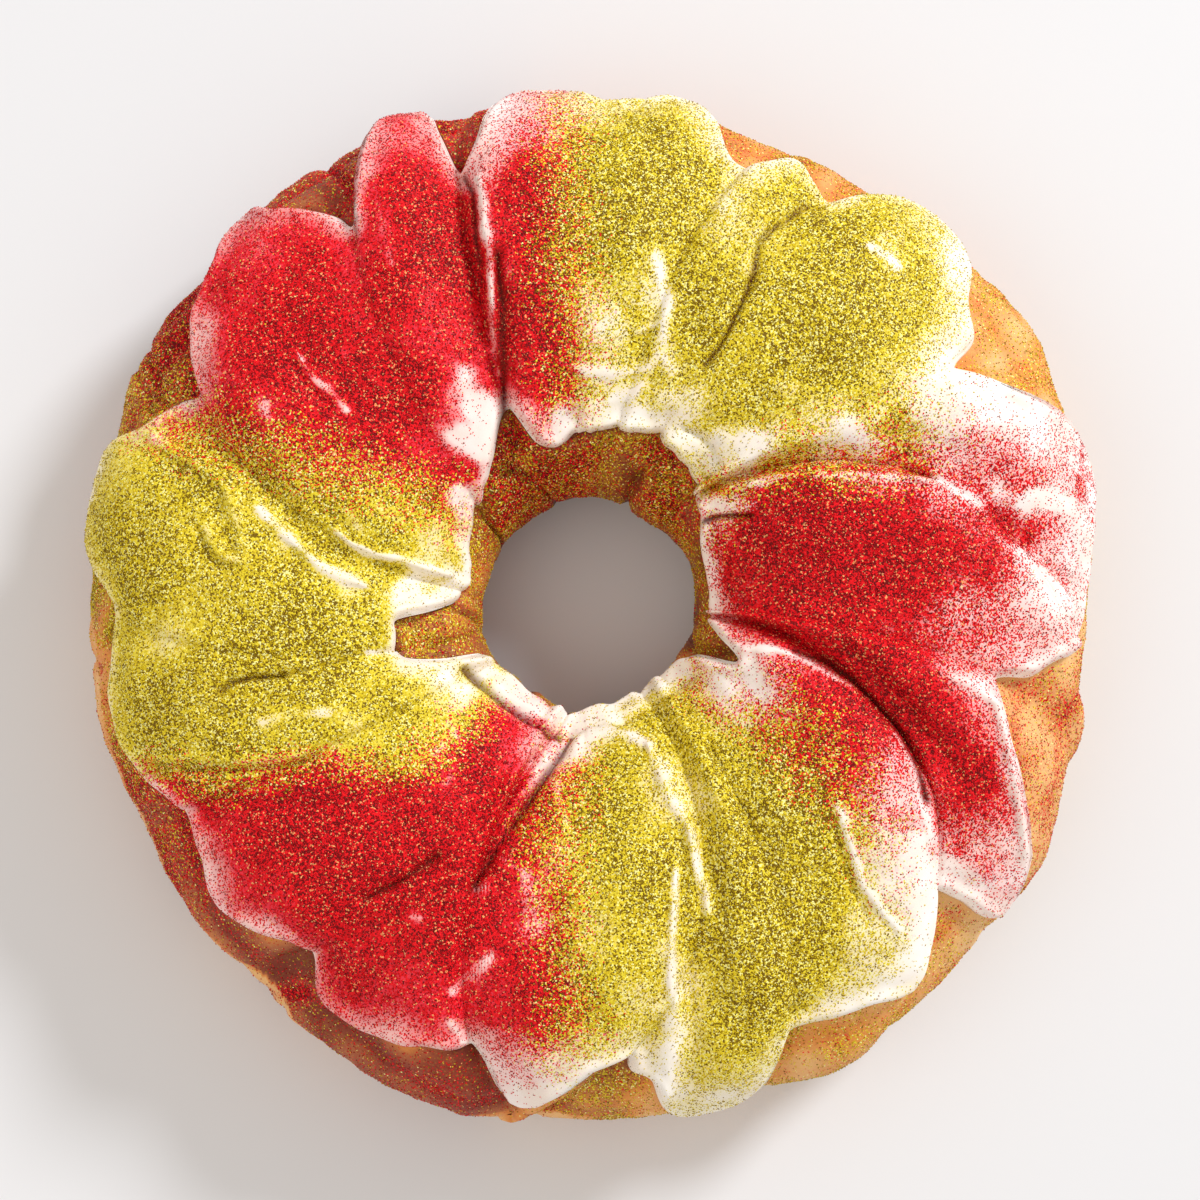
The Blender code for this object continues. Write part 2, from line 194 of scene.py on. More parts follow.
MARKS = (
    # the rolled fold beside the deep seam, and the strand left of it
    (-0.8, 1.6, 0, ((116, 147), (112, 144), (108, 145))),
    (0.3, 2.2, 0.45, ((118.5, 125), (119.5, 119), (120.5, 111.5))),
    (-2.6, 1, 0.1, ((106.5, 129), (106, 123), (106.5, 117), (107.5, 108.5), (108, 101.5))),
    (1.7, 1.7, 1, (
        (105, 125), (105, 119.5), (106, 110.5), (106, 104), (106.5, 99.5), (108, 92), (109.5, 84), (111.5, 77),
    )),
    (1, 1.4, 0.9, ((111.5, 77), (111, 72.5), (112, 69.5))),
    (-1.7, 1.4, -0.4, ((108.5, 100.5), (109, 92.5), (110.5, 84.5), (112.5, 75.5), (113.5, 66.5))),
    (-3, 1.6, -0.6, ((105, 102.5), (106.5, 88.5), (109, 76), (111.5, 67), (114.5, 59.5), (118.5, 52))),
    (0.2, 2, 0.35, ((104, 97.5), (103.5, 93))),
    (0, 4.5, 0.8, ((119.5, 73.5), (120.5, 68.5), (119.5, 64.5))),
    (0, 5, 0.95, ((120.5, 65), (119, 60.5), (120.5, 55.5))),
    (0, 5, 0.95, ((129, 57.5), (127, 54), (125, 50), (127, 47.5))),
    (0, 4, 0.8, ((142, 49.5), (142.5, 46), (147.5, 42), (156.5, 38))),
    # the wide red lobe
    (0.4, 1.5, 0.75, ((140, 109), (141, 104.5), (141.5, 101.5), (141.5, 97.5), (141.5, 93.5), (142.5, 87.5))),
    (-0.9, 1.5, -0.2, ((141.5, 109), (143, 102), (143.5, 93.5))),
    (0.3, 2.8, 0.55, ((149.5, 108.5), (151, 105))),
    (0.2, 1.4, 0.45, ((135, 99.5), (135.5, 97.5))),
    (0.3, 1.4, 0.5, ((135, 88.5), (134.5, 83))),
    (-1.2, 5, -0.2, ((156.5, 120), (160, 100.5), (161.5, 87), (163.5, 73))),
    # the gold lobe on the left
    (1.2, 1.8, 0.4, ((159.5, 135.5), (161, 122.5), (161.5, 115.5), (162.5, 110.5), (164.5, 107))),
    (1.1, 1.6, 0.45, ((164.5, 107), (167, 103.5), (169, 101.5), (171.5, 100.5))),
    (1.2, 1.6, 0.5, ((169.5, 112), (171, 110), (173, 107.5), (174, 103.5), (174, 100.5))),
    (-1.3, 1.8, -0.2, ((170, 114), (172.5, 111), (174.5, 107))),
    (-0.8, 2, 0, ((166.5, 110), (169.5, 106.5), (172, 103))),
    (1.3, 1.6, 0.95, ((165, 98), (167, 92.5), (170.5, 83.5), (173.5, 77.5), (175.5, 70), (177, 64.5))),
    (-1.1, 2.6, -0.1, ((164, 90), (168, 81.5), (171.5, 70.5), (173.5, 55), (173.5, 43.5))),
    (1, 1.4, 0.85, ((165.5, 75), (167.5, 70), (169, 62.5), (168.5, 55.5), (169.5, 48.5), (170, 41))),
    (0.2, 2.4, 0.6, ((161, 72.5), (163, 69))),
    (0.2, 2, 0.35, ((156.5, 67), (158, 60))),
    (0.2, 1.6, 0.45, ((180, 70), (179.5, 61.5), (178.5, 53))),
    (0, 5.5, 0.8, ((180.5, 53), (184, 46.5), (179, 39.5), (171.5, 37))),
    (0, 3.2, 0.85, ((140.5, 45), (154.5, 38), (169, 36), (179.5, 37.5))),
    (0.7, 1.3, 0.9, ((185.5, 54), (192.5, 56.5), (195.5, 58))),
    (0.3, 1.5, 0.8, ((194, 65), (195.5, 58), (201, 50), (201.5, 45.5))),
    (0, 5, 0.55, ((198.5, 56), (205.5, 48), (215.5, 42.5))),
    (-2.6, 0.8, 0, ((194.5, 109), (193.5, 105.5), (193.5, 99.5), (194.5, 90))),
    (-1.8, 0.8, 0.3, ((194.5, 90), (194.5, 82), (194.5, 72))),
    # painted highlight: a white streak along a lit ridge
    (0.4, 1.8, 0.6, ((201, 100), (201, 93), (202.5, 86), (204, 81))),
    (0.1, 3.5, 0.4, ((205, 79), (208, 76))),
    (-0.8, 1.5, 0.15, ((195.5, 116), (198, 109.5), (200, 105.5))),
    (0.6, 1.4, 0.3, ((200, 135), (202.5, 120.5), (206, 107.5), (209, 93))),
    (-1.5, 1.8, 0, ((201, 136), (204, 122), (207, 109), (210.5, 92))),
    # the red lobes below it
    (-1, 3, -0.4, ((210, 115.5), (216, 102), (220.5, 89.5), (224, 79))),
    (0.2, 1.6, 0.5, ((225, 62), (225, 58.5))),
    (0.2, 1.5, 0.45, ((221.5, 53.5), (225.5, 54.5))),
    (0.2, 1.6, 0.5, ((232.5, 67), (231.5, 62))),
    (0.1, 1.5, 0.4, ((213.5, 73.5), (214.5, 72.5))),
    (-2.4, 1.2, -0.4, ((233.5, 107), (236, 98.5), (238, 91), (239.5, 86))),
    (0.4, 1.1, 0.25, ((235.5, 104.5), (237.5, 97.5))),
    (-4.4, 1.2, -0.5, ((262.5, 38.5), (259.5, 44.5), (256, 52.5), (253.5, 60.5), (251.5, 68))),
    (-3, 1.1, -0.5, ((251.5, 68), (250, 75.5), (249, 82), (248, 89.5))),
    (0.5, 2, 0.4, ((255.5, 48.5), (252.5, 57), (251, 64.5))),
    (0.3, 1.4, 0.85, ((251, 77.5), (254, 80), (257, 81))),
    (0.3, 2.2, 0.4, ((257, 83), (259, 88.5))),
    (0.3, 1.3, 0.7, ((249, 89), (250.5, 86.5))),
    (0.1, 1.6, 0.7, ((241.5, 103), (242, 103))),
    # painted highlight: the pale streak along a lit ridge
    (-0.4, 1.9, 0.95, ((251, 118.5), (252, 114.5), (253.5, 110), (254.5, 106.5))),
    (0.2, 1.6, 0.5, ((252, 127.5), (253.5, 130.5))),
    (0.3, 1.2, 0.6, ((254, 132.5), (255.5, 134))),
    (-1.3, 3, -0.2, ((232.5, 130), (237, 129), (240, 134))),
    (0.1, 3, 0.25, ((259, 99), (260.5, 94.5))),
    # the rim at the bottom of the hole
    (1.0, 2.8, 1.2, ((205.5, 38), (218.5, 36), (233, 35.5), (249, 35.5), (263, 35), (275, 34))),
    (-2.4, 1.1, -0.3, ((209, 41), (217, 39.5), (224.5, 38.5), (232, 38.5), (243.5, 39), (252, 39.5), (258, 40))),
    (-1.6, 1, 0, ((260, 40), (263.5, 38), (270, 36.5), (279.5, 36.5), (286, 36.5))),
    (0.8, 2.8, 1.3, ((270, 34), (281.5, 33), (297, 32), (311.5, 32), (326, 32))),
    (-1.6, 1, 0, ((286, 36.5), (298.5, 36), (311, 36), (323, 36.5))),
    # the gold strands below the hole
    (0.9, 1.8, 0.95, ((264, 43), (266.5, 39.5), (275, 38.5), (285, 41), (292, 46.5))),
    (0.3, 2, 0.45, ((259.5, 54.5), (261, 58.5), (264, 64.5))),
    (1.2, 2, 0.75, ((292, 47), (292, 51.5), (292.5, 56.5))),
    (1.2, 2.2, 0.5, ((292.5, 56.5), (292, 62.5), (293.5, 72))),
    (1.4, 1.9, 0.85, ((293.5, 72), (292, 81), (291.5, 88.5), (290.5, 96))),
    (1.4, 1.6, 0.85, ((287.5, 81.5), (285.5, 90), (283.5, 100.5), (282, 110.5), (282, 118))),
    (1.2, 3.4, 0.65, ((281.5, 119), (281, 126.5), (279.5, 135), (278.5, 143))),
    (-1.1, 4, 0, ((288, 86.5), (286, 99), (284.5, 116), (283, 134))),
    (1, 4, 0.15, ((304, 58), (301.5, 69.5), (298.5, 82.5), (295.5, 96), (292.5, 109), (290.5, 120))),
    (-1, 1, 0.15, ((309.5, 54.5), (306.5, 61.5), (306.5, 70), (306, 77), (303.5, 83.5))),
    (-1.2, 6, 0, ((301.5, 88), (298, 98), (294, 110.5), (291, 123.5), (289, 135))),
    (0.7, 5, 0, ((312.5, 78.5), (307.5, 94.5), (301.5, 111.5))),
    (0.7, 1.3, 0.75, ((319.5, 93), (316.5, 102), (313.5, 112.5), (313, 121.5), (313, 129))),
    (-1, 2.4, -0.1, ((318, 92.5), (314.5, 101.5), (312, 111.5), (311, 120.5))),
    (0, 7, 0.1, ((278, 102), (277, 116))),
    (0, 4, 0.55, ((262, 145), (266.5, 143.5), (271, 135), (276, 134.5))),
    (0, 4, 0.75, ((324, 118.5), (316, 135), (310.5, 141), (305, 141.5), (300.5, 138))),
    (0, 4, 0.5, ((280.5, 146), (288, 150.5))),
    # the red strands on the right
    (0.9, 1.3, 0.9, ((342.5, 48.5), (344.5, 55.5), (344.5, 62.5), (343, 70), (341.5, 78.5))),
    (0.7, 1.2, 0.5, ((341.5, 78.5), (340, 85), (338, 91), (335.5, 97))),
    (0.6, 1.6, 0.65, ((335.5, 97), (333.5, 102.5), (330.5, 108), (327.5, 113.5), (325, 118.5))),
    (0, 3, 0.6, ((340.5, 48.5), (335, 52.5), (332.5, 57))),
    (-2.6, 1.6, -0.6, (
        (345.5, 61), (344.5, 70), (342.5, 79.5), (339.5, 88), (336, 98.5), (332.5, 106), (329, 112),
    )),
    (-1.7, 3, -0.4, ((348.5, 76), (345, 85.5), (341.5, 95), (338, 106), (334.5, 118))),
    (0.9, 3, 0, ((341.5, 83), (339, 92), (335.5, 102.5), (330.5, 113.5))),
    (0.9, 1.4, 0.6, (
        (347.5, 105.5), (347, 113), (345.5, 119.5), (341.5, 125), (337, 131), (333, 138.5), (330, 145),
    )),
    (0.3, 1.6, 0.55, ((353.5, 137), (351, 128), (347.5, 121.5))),
    (0, 8, 0.6, ((322.5, 124.5), (322, 134), (322.5, 145))),
    (0, 3.5, -0.4, ((326, 129), (325.5, 139))),
    (0.4, 3.2, 0.95, ((359.5, 34.5), (351, 34.5), (343.5, 38.5), (339.5, 44))),
    (0.2, 2.4, 0.75, ((32, 38.5), (20, 35.5), (11.5, 35.5))),
    (-2.6, 0.9, 0.1, ((34.5, 40), (33, 43.5), (30.5, 47), (27, 52))),
    (0, 3.6, 0.7, ((38, 45), (32.5, 47.5), (31, 52))),
    (0.3, 2.4, 0.55, ((339.5, 32.5), (334, 36), (329.5, 41.5), (326.5, 48.5))),
    (0, 5, 0.45, ((327.5, 39), (325.5, 46.5))),
    (0.8, 1.8, 0.5, ((35, 57), (33.5, 63.5), (27.5, 77), (22, 92.5), (19.5, 101.5))),
    (1, 1.6, 0.9, ((20, 99.5), (18, 106.5), (16, 110), (13, 116))),
    (-1.1, 1.2, -0.3, ((38.5, 55.5), (34.5, 64.5), (28.5, 78), (23, 93), (20, 103))),
    (0.7, 3, 0.5, ((13, 116), (8, 121.5), (4, 128), (1, 136), (359, 140))),
    (-1.6, 3.6, -0.5, ((12, 120), (8.5, 126.5), (5, 133), (2, 141))),
    (0.6, 3.6, 0.9, ((13.5, 122.5), (12.5, 133), (11, 141.5), (9, 144.5))),
    (0, 2.6, -0.8, ((18.5, 151.5), (14, 147.5), (10, 145.5))),
    # the pale band above them
    (-1.6, 1, 0.2, ((61, 55.5), (55.5, 56), (50.5, 55.5), (46.5, 53.5))),
    (0.2, 4.2, 0.7, ((63, 54.5), (54.5, 54.5), (47.5, 59.5), (40.5, 70))),
    (0.2, 4, 0.7, ((43, 61), (46, 55), (49.5, 50))),
    (0.3, 3, 0.75, ((34, 88), (30, 89))),
    (0.2, 2, 0.4, ((34.5, 79.5), (28, 94))),
    (0.1, 3, 0.3, ((41, 82.5), (39.5, 82))),
    (0.1, 4, 0.3, ((32.5, 95.5), (32.5, 98.5))),
    (0, 5, 0.5, ((31, 118.5), (27, 127), (22.5, 138))),
    # the gold lobes at the top
    (0.3, 1.8, 0.75, ((79, 99.5), (77, 92.5), (75.5, 87.5), (74, 76.5))),
    (0.3, 2.8, 0.45, ((72, 129.5), (71, 125), (71.5, 119.5))),
    (0.2, 2.8, 0.4, ((75, 112.5), (73.5, 112))),
    (0.4, 1, 0.6, ((79.5, 77.5), (76.5, 80.5), (73.5, 83))),
    (0.3, 1, 0.55, ((88, 76.5), (86, 79.5), (84.5, 81))),
    (0.2, 1.6, 0.6, ((84, 77), (83, 76.5))),
    (0.4, 1.3, 0.7, ((93.5, 66.5), (90, 65), (85, 64.5), (79.5, 66), (75.5, 68), (74.5, 72))),
    (0.2, 1.2, 0.5, ((97, 67.5), (93.5, 66))),
    (0.3, 1.6, 0.7, ((72.5, 71.5), (70, 69))),
    (0.3, 2, 0.6, ((76.5, 62.5), (78.5, 59.5), (84, 57))),
    (0.2, 2.6, 0.5, ((70, 61.5), (65, 61), (63.5, 64.5))),
    (0.2, 3, 0.9, ((99.5, 52), (98, 47.5))),
    (0, 4, 0.6, ((86.5, 55), (74, 53.5), (68, 54), (62, 60.5))),
    (-2.2, 1, 0.1, (
        (61, 132), (62, 126.5), (63.5, 120), (64.5, 113.5), (63, 104.5), (62.5, 92.5), (62.5, 81), (63.5, 74),
    )),
    (0.5, 1.5, 0.25, ((65, 120), (65.5, 112), (64.5, 104))),
    (0.3, 1.5, 0.7, ((51.5, 129.5), (49, 130.5), (47, 130.5))),
    (0.2, 2, 0.4, ((48, 81.5), (45.5, 83))),
    (0.2, 2, 0.35, ((61.5, 76), (59, 75))),
    (-1.2, 4, -0.3, ((83.5, 144.5), (82.5, 137), (81.5, 125.5))),
    (-0.7, 4, -0.2, ((69.5, 90.5), (68.5, 79), (67.5, 70))),
)

# Where the sugar lies thinner (above 0) or thicker (below 0): (ring angle, radius, size, how much)
PATCHES = (
    (22, 133, 13, 0.6),
    (30, 113, 8, 0.35),
    (33, 83, 8, 0.35),
    (42, 58, 7, 0.35),
    (1.5, 132, 13, 0.5),
    (328, 138, 10, 0.55),
    (329, 101, 10, 0.45),
    (318, 121, 11, 0.55),
    (306, 130, 9, 0.2),
    (285, 114, 7, 0.4),
    (278, 136, 7, 0.5),
    (266, 132, 10, 0.45),
    (271.5, 116, 9, 0.25),
    (216, 50, 10, 0.35),
    (248, 47, 9, 0.5),
    (209.5, 86, 6, 0.3),
    (170, 88, 5, 0.35),
    (175.6, 69, 6, 0.4),
    (180.6, 46, 9, 0.45),
    (164, 140, 7, 0.3),
    (132, 140, 11, 0.35),
    (145, 134, 8, 0.3),
    (123, 58, 9, 0.4),
    (160, 49, 7, 0.4),
    (146.5, 103, 9, 0.2),
    (112, 148, 8, 0.4),
    (98, 144, 11, 0.35),
    (90, 144, 7, 0.2),
    (100, 49, 9, 0.4),
    (80.6, 54, 9, 0.35),
    (77.6, 88, 7, 0.35),
    (87.5, 69, 9, 0.3),
    (64, 65, 9, 0.25),
    (65.4, 141, 4, 0.35),
    (42.3, 145, 7, 0.6),
    (35, 129, 7, 0.5),
    (37, 105, 9, 0.3),
    (51, 140, 9, 0.3),
    (9, 70, 17, -0.3),
    (21.4, 62, 10, -0.15),
    (339.6, 109, 8, -0.3),
    (347.6, 83, 8, -0.3),
    (231, 101, 14, -0.25),
    (220, 113, 10, -0.15),
    (114.6, 110, 11, -0.25),
    (105.6, 83, 6, -0.35),
    (251, 80, 7, -0.3),
    (192, 126, 9, -0.3),
    (48, 104, 13, -0.05),
    (82.7, 134, 5, -0.25),
    (59.4, 75, 6, -0.3),
    (312, 86, 12, -0.15),
    (298, 95, 6, -0.3),
    (294.8, 126, 9, -0.3),
    (162.7, 114, 7, -0.25),
    (129.7, 85, 10, -0.2),
    (298.7, 66, 6, 0.2),
    (321, 56, 7, 0.2),
    (217, 134.5, 7, 0.3),
    (245, 129, 12, 0.25),
    (235.5, 132, 6, 0.3),
    (226, 130.5, 7, 0.3),
    (256.5, 43.5, 6, 0.35),
    (268, 42.5, 6, 0.45),
    (262.5, 141, 9, 0.4),
    (140, 129, 11, 0.2),
    (148, 122.5, 9, 0.16),
    (124, 133.5, 9, 0.18),
    (116, 155.5, 8, 0.25),
    (103.5, 136.5, 10, 0.35),
    (22.5, 120, 15, 0.25),
    (28, 117, 12, 0.28),
    (15.5, 140, 10, 0.3),
    (359.5, 126.5, 13, 0.3),
    (5.5, 113.5, 12, 0.05),
    (334, 48.5, 9, 0.3),
    (321, 108.5, 16, 0.35),
    (312, 118, 12, 0.15),
    (329, 57, 11, 0.2),
    (177.5, 46, 10, 0.35),
    # painted highlight: thinner sugar whitens a lit dab
    (87.5, 135.5, 10, 0.12),
    (78, 142.5, 8, 0.15),
    (47, 133.5, 10, 0.12),
    (277, 116, 12, 0.1),
    (283.5, 138.5, 12, 0.15),
    (255, 132, 12, 0.2),
    (326, 135.5, 10, 0.3),
    (231.5, 33, 9, 0.25),
    (305.5, 103, 17, -0.3),
    (293.5, 116, 12, -0.25),
    (173, 127, 13, -0.2),
    (193, 129.5, 12, -0.25),
    (45.5, 106.5, 16, -0.08),
    (67.5, 82.5, 8, -0.25),
    (83, 120.5, 7, -0.1),
    (275.5, 87, 13, -0.2),
    (272.5, 66.5, 9, -0.2),
    (264.5, 87, 9, -0.15),
    (6.5, 69, 17, -0.15),
    (230, 101.5, 17, -0.15),
    (336.5, 115.5, 9, -0.15),
    (94, 114, 8, -0.2),
    (99.5, 86, 8, -0.15),
    (99.5, 103.5, 7, -0.2),
    (76, 131, 9, -0.3),
)

# How wide the sugar fades out towards the outer rim, by ring angle, and how bare the rim ends
RIM_FADES = (
    (0, 34, 0.85), (12, 32, 0.88), (21, 16, 0.9), (30, 20, 0.95), (42, 18, 0.95), (50, 11, 0.8), (58, 9, 0.8),
    (66, 11, 0.8), (80, 14, 0.8), (92, 16, 0.78), (103, 17, 0.82), (112, 13, 0.8), (122, 13, 0.8), (132, 12, 0.65),
    (143, 11, 0.6), (154, 11, 0.65), (162, 13, 0.85), (172, 9, 0.8), (185, 7, 0.8), (200, 7, 0.75), (212, 12, 0.8),
    (225, 14, 0.8), (236, 10, 0.8), (246, 13, 0.85), (256, 13, 0.85), (262, 17, 0.9), (270, 14, 0.9),
    (280, 14, 0.88), (292, 14, 0.88), (303, 15, 0.9), (310, 19, 0.95), (317, 24, 0.95), (326, 13, 0.85),
    (334, 14, 0.85), (345, 22, 0.82),
)

# How far the sugar has melted and dyed the icing under it, by ring angle
MELTED = ((0, 0.15), (30, 0.15), (50, 0.4), (90, 0.35), (103, 0.6), (112, 1), (160, 1), (185, 0.8), (205, 0.8))
MELTED += ((215, 1), (252, 1), (262, 0.5), (300, 0.4), (335, 0.3), (345, 0.5))

# Where red sugar gives way to gold, as ring angles at these radii
TURNOVER_RADII = (40, 60, 80, 100, 120, 140)
RED_BEGINS = ((95, 95, 94.5, 94, 94, 93), (234, 222, 217, 210, 205.5, 201), (331, 329, 325.5, 321, 319, 318))
RED_ENDS = ((144, 148, 152, 154.5, 156, 157.5), (259, 261, 262.5, 264.5, 266, 268), (400, 396, 389, 386, 388, 390))
TURNOVER_WIDTHS = ((15, 17), (10, 17), (17, 17))  # at the beginning and the end of each red stretch

# Bread between and below the lobes: (ring angle, red dust, gold dust, browning)
BREAD_TINTS = (
    (0, 0.1, 0.5, 0.15),
    (20, 0.12, 0.4, 0.25),
    (31, 0.05, 0.5, 0.3),
    (60, 0.2, 0.45, 0.45),
    (70, 0.25, 0.45, 0.4),
    (96, 0.5, 0.3, 0.55),
    (101, 1.0, 0.15, 0.9),
    (107, 1.2, 0.15, 1.1),
    (116, 0.6, 0.15, 0.85),
    (121, 0.6, 0.12, 0.95),
    (126, 0.45, 0.15, 0.8),
    (131, 0.7, 0.15, 0.95),
    (137, 1.6, 0.12, 1.3),
    (148, 1.5, 0.25, 1.3),
    (151, 0.9, 0.5, 1.1),
    (154, 0.3, 0.6, 0.75),
    (158, 0.4, 0.7, 0.9),
    (162, 0.15, 0.6, 0.6),
    (166, 0.2, 0.9, 0.65),
    (175, 0.15, 1.6, 0.55),
    (183, 0.15, 1.5, 0.55),
    (186, 0.05, 0.1, 0.3),
    (198, 0.4, 0.6, 0.8),
    (203, 1.0, 0.35, 1.05),
    (214, 0.9, 0.2, 1.0),
    (219, 0.3, 0.08, 0.8),
    (231, 0.2, 0.05, 0.75),
    (234, 0.25, 0.08, 0.7),
    (245, 0.2, 0.05, 0.75),
    (250, 0.4, 0.05, 0.88),
    (257, 0.45, 0.05, 0.95),
    (259.5, 0.3, 0.05, 0.6),
    (262, 0.05, 0.2, 0.35),
    (266, 0.05, 0.5, 0.5),
    (272, 0.05, 0.6, 0.6),
    (280, 0.05, 0.3, 0.25),
    (295, 0.05, 0.45, 0.25),
    (312, 0.1, 0.4, 0.25),
    (335, 0.4, 0.15, 0.12),
    (350, 0.4, 0.2, 0.12),
)

# How far the bare pale band comes in from the outside of the bread, by ring angle
PALE_WIDTHS = ((172, 0), (180, 0.3), (185, 3.6), (197, 3.6), (202, 1.5), (224, 1.3), (229, 3.5), (232.5, 4.5))
PALE_WIDTHS += ((234.5, 1.0), (240, 0.6), (256, 0.3), (262, 1.5), (266, 3.0), (272, 0))

# How far single strands of dough swell beyond the rope, by ring angle
STRAND_SWELLS = ((100, 0), (103, 1.5), (107, 1), (110, 0), (136, 0), (143, 2), (149, 0.6), (153.5, 2.2), (159, 0.5))
STRAND_SWELLS += ((170, 0), (183, 1.2), (198, 1.6), (215, 1.6), (222, 2.4), (229, 4.8), (233, 4.4), (238, 3.2), (246, 1.4), (254, 0))

# Creases between strands of dough: width, red sugar caught in them, then their run as (ring angle, radius)
CRUST_CREASES = (
    (1.3, 0.9, ((212, 149.5), (220, 149.8), (226, 148.5), (230, 146), (234, 141))),
    (1.2, 0.2, ((231.5, 152), (232.5, 148), (234, 144))),
    (1.0, 0.2, ((260, 158), (263.5, 153), (267, 147))),
    (1.0, 0.1, ((184, 152), (186.5, 148.5), (188, 145.5))),
    (1.3, 0.6, ((149, 156), (150.5, 149), (153, 143), (155, 138))),
    (0.9, 0.1, ((152, 152), (154.5, 145), (157, 139.5))),
    (1.3, 0.6, ((121.5, 156), (120.5, 148), (120, 141))),
)

# Twisted ropes showing in the side of the bread, by ring angle: their height in millimetres
ROPE_HEIGHTS = ((0, 0.5), (30, 0.3), (60, 0.5), (95, 1.2), (106, 2.4), (123, 3.4), (145, 3.0), (160, 1.6), (175, 0.6))
ROPE_HEIGHTS += ((200, 0.5), (230, 0.6), (240, 1.1), (256, 1.3), (268, 1.1), (280, 0.6), (300, 0.35), (330, 0.4))
ROPE_PACE, ROPE_LEAN = 25.0, 0.3  # degrees of turn from rope to rope; how they climb along the ring

# Sugar
CELLS_PER_METRE = 2150.0  # grains lying so close that they are one rough skin
GRAINS = {"fine": 49500, "coarse": 43000}
GRAIN_SIZES = {"fine": (0.18, 0.30), "coarse": (0.27, 0.40)}


def ordered(table):
    return np.array(table, float).T


def smooth_step(value, low, high):
    t = np.clip((value - low) / (high - low), 0, 1)
    return t * t * (3 - 2 * t)


def lumps(points, size, seed, waves=26):
    """Smooth noise of about -1 to 1, with swellings of the given size."""
    random = np.random.default_rng(seed)
    directions = random.normal(size=(waves, 3))
    directions /= np.linalg.norm(directions, axis=1)[:, None]
    pace = 2 * math.pi / (size * random.uniform(1.4, 3.0, waves))
    phase = random.uniform(0, 2 * math.pi, waves)
    total = np.zeros(len(points))
    for direction, speed, start in zip(directions, pace, phase):
        total += np.cos(points @ direction * speed + start)
    return total * math.sqrt(2 / waves) * 0.6


# ---------------------------------------------------------------- rope and strands


def groove_at(strand, across):
    """Ring angle of a strand's first groove: one smooth curve through its four knots."""
    laps, row = np.divmod(strand, len(GROOVES))
    table = np.array([(hole, crown, shoulder, shoulder + BASE_LEAN) for hole, crown, shoulder, _ in GROOVES], float)
    angles = table[row]
    total = FULL_TURN * laps
    for i, knot in enumerate(ACROSS):
        weight = 1.0
        for other in np.delete(ACROSS, i):
            weight = weight * (across - other) / (knot - other)
        total = total + weight * angles[..., i]
    return total


def ring_angle(strand, share, turn):
    turn = np.where(turn < -180, turn + FULL_TURN, turn)
    across = np.clip(1 - turn / 180, ACROSS[0], ACROSS[-1])
    first = groove_at(strand, across)
    angle = first + (groove_at(strand + 1, across) - first) * share
    hole = np.zeros_like(across)
    at_hole = groove_at(strand, hole)
    at_hole = at_hole + (groove_at(strand + 1, hole) - at_hole) * share
    under = np.clip((BASE_OUTER_TURN - turn) / (BASE_OUTER_TURN - BASE_INNER_TURN), 0, 1)
    return angle + (at_hole - angle) * under


def rope_frame(angle, turn):
    """Points on the bare rope and the way out of it: radius, height, outward share, upward share."""
    angles, radii = ordered(WAIST_RADII)
    outer = np.interp(angle, angles, radii, period=FULL_TURN)
    middle, half = (outer + HOLE_RADIUS) / 2, (outer - HOLE_RADIUS) / 2
    cosine, sine = np.cos(np.radians(turn)), np.sin(np.radians(turn))
    power = np.where(sine > 0, CROWN_POWER, BELLY_POWER)
    rise = np.where(sine > 0, CROWN_RISE, BELLY_DROP)
    reach = np.copysign(np.abs(cosine) ** (2 / power), cosine)
    lift = np.copysign(np.abs(sine) ** (2 / power), sine)
    out = np.copysign(np.abs(cosine) ** (2 - 2 / power), cosine) / half
    up = np.copysign(np.abs(sine) ** (2 - 2 / power), sine) / rise
    length = np.hypot(out, up)
    return middle + half * reach, WAIST_HEIGHT + rise * lift, out / length, up / length


def place(angle, turn, offset):
    radius, height, out, up = rope_frame(angle, turn)
    radius = radius + offset * out
    x = AXIS[0] + radius * np.cos(np.radians(angle))
    y = AXIS[1] + radius * np.sin(np.radians(angle))
    return np.stack([x, y, np.maximum(height + offset * up, 0)], -1)


def groove_depth(strand, share, turn, depths, roundness):
    depth = np.array([row[3] for row in GROOVES])
    first, second = depth[strand % len(GROOVES)], depth[(strand + 1) % len(GROOVES)]
    turn = np.where(turn < -180, turn + FULL_TURN, turn)
    deepest = np.interp(turn, GROOVE_TURNS, depths)
    swell = 1 - np.abs(2 * share**STRAND_SKEW - 1) ** roundness
    return deepest * (first + (second - first) * share) * (1 - swell)


def strand_columns(per_degree):
    """Strand numbers and shares of all columns, closer together near each strand's steep end."""
    strands, shares = [], []
    for strand in range(len(GROOVES)):
        width = float(groove_at(np.array(strand + 1), ACROSS[2]) - groove_at(np.array(strand), ACROSS[2]))
        wide = float(groove_at(np.array(strand + 1), ACROSS[1]) - groove_at(np.array(strand), ACROSS[1]))
        count = max(round(max(width, wide) * per_degree), 14)
        even = np.arange(count) / count
        strands += [strand] * count
        shares += list((even + np.sin(math.pi / 2 * even)) / 2)
    return np.array(strands), np.array(shares)


def hem_turns(hem, strands, shares, softening, seed):
    turns = np.array([np.interp(share, *ordered(hem[strand])) for strand, share in zip(strands, shares)])
    for _ in range(softening):
        turns = (np.roll(turns, 1) + 2 * turns + np.roll(turns, -1)) / 4
    angles = np.radians(groove_at(strands, 0.7) + shares * 20)
    ring = np.stack([np.cos(angles), np.sin(angles), np.zeros_like(angles)], -1) * 140
    return turns + 0.5 * lumps(ring, 6.0, seed)


def to_hem(points, hem):
    """Distance in millimetres from each point of a net (columns, rows, 3) to a hem (columns, 3)."""
    nearest = np.full(points.shape[:2], 1e9)
    for shift in range(-26, 27):
        other = np.roll(hem, shift, axis=0)[:, None]
        nearest = np.minimum(nearest, ((points - other) ** 2).sum(-1))
    return np.sqrt(nearest)


# ---------------------------------------------------------------- marks


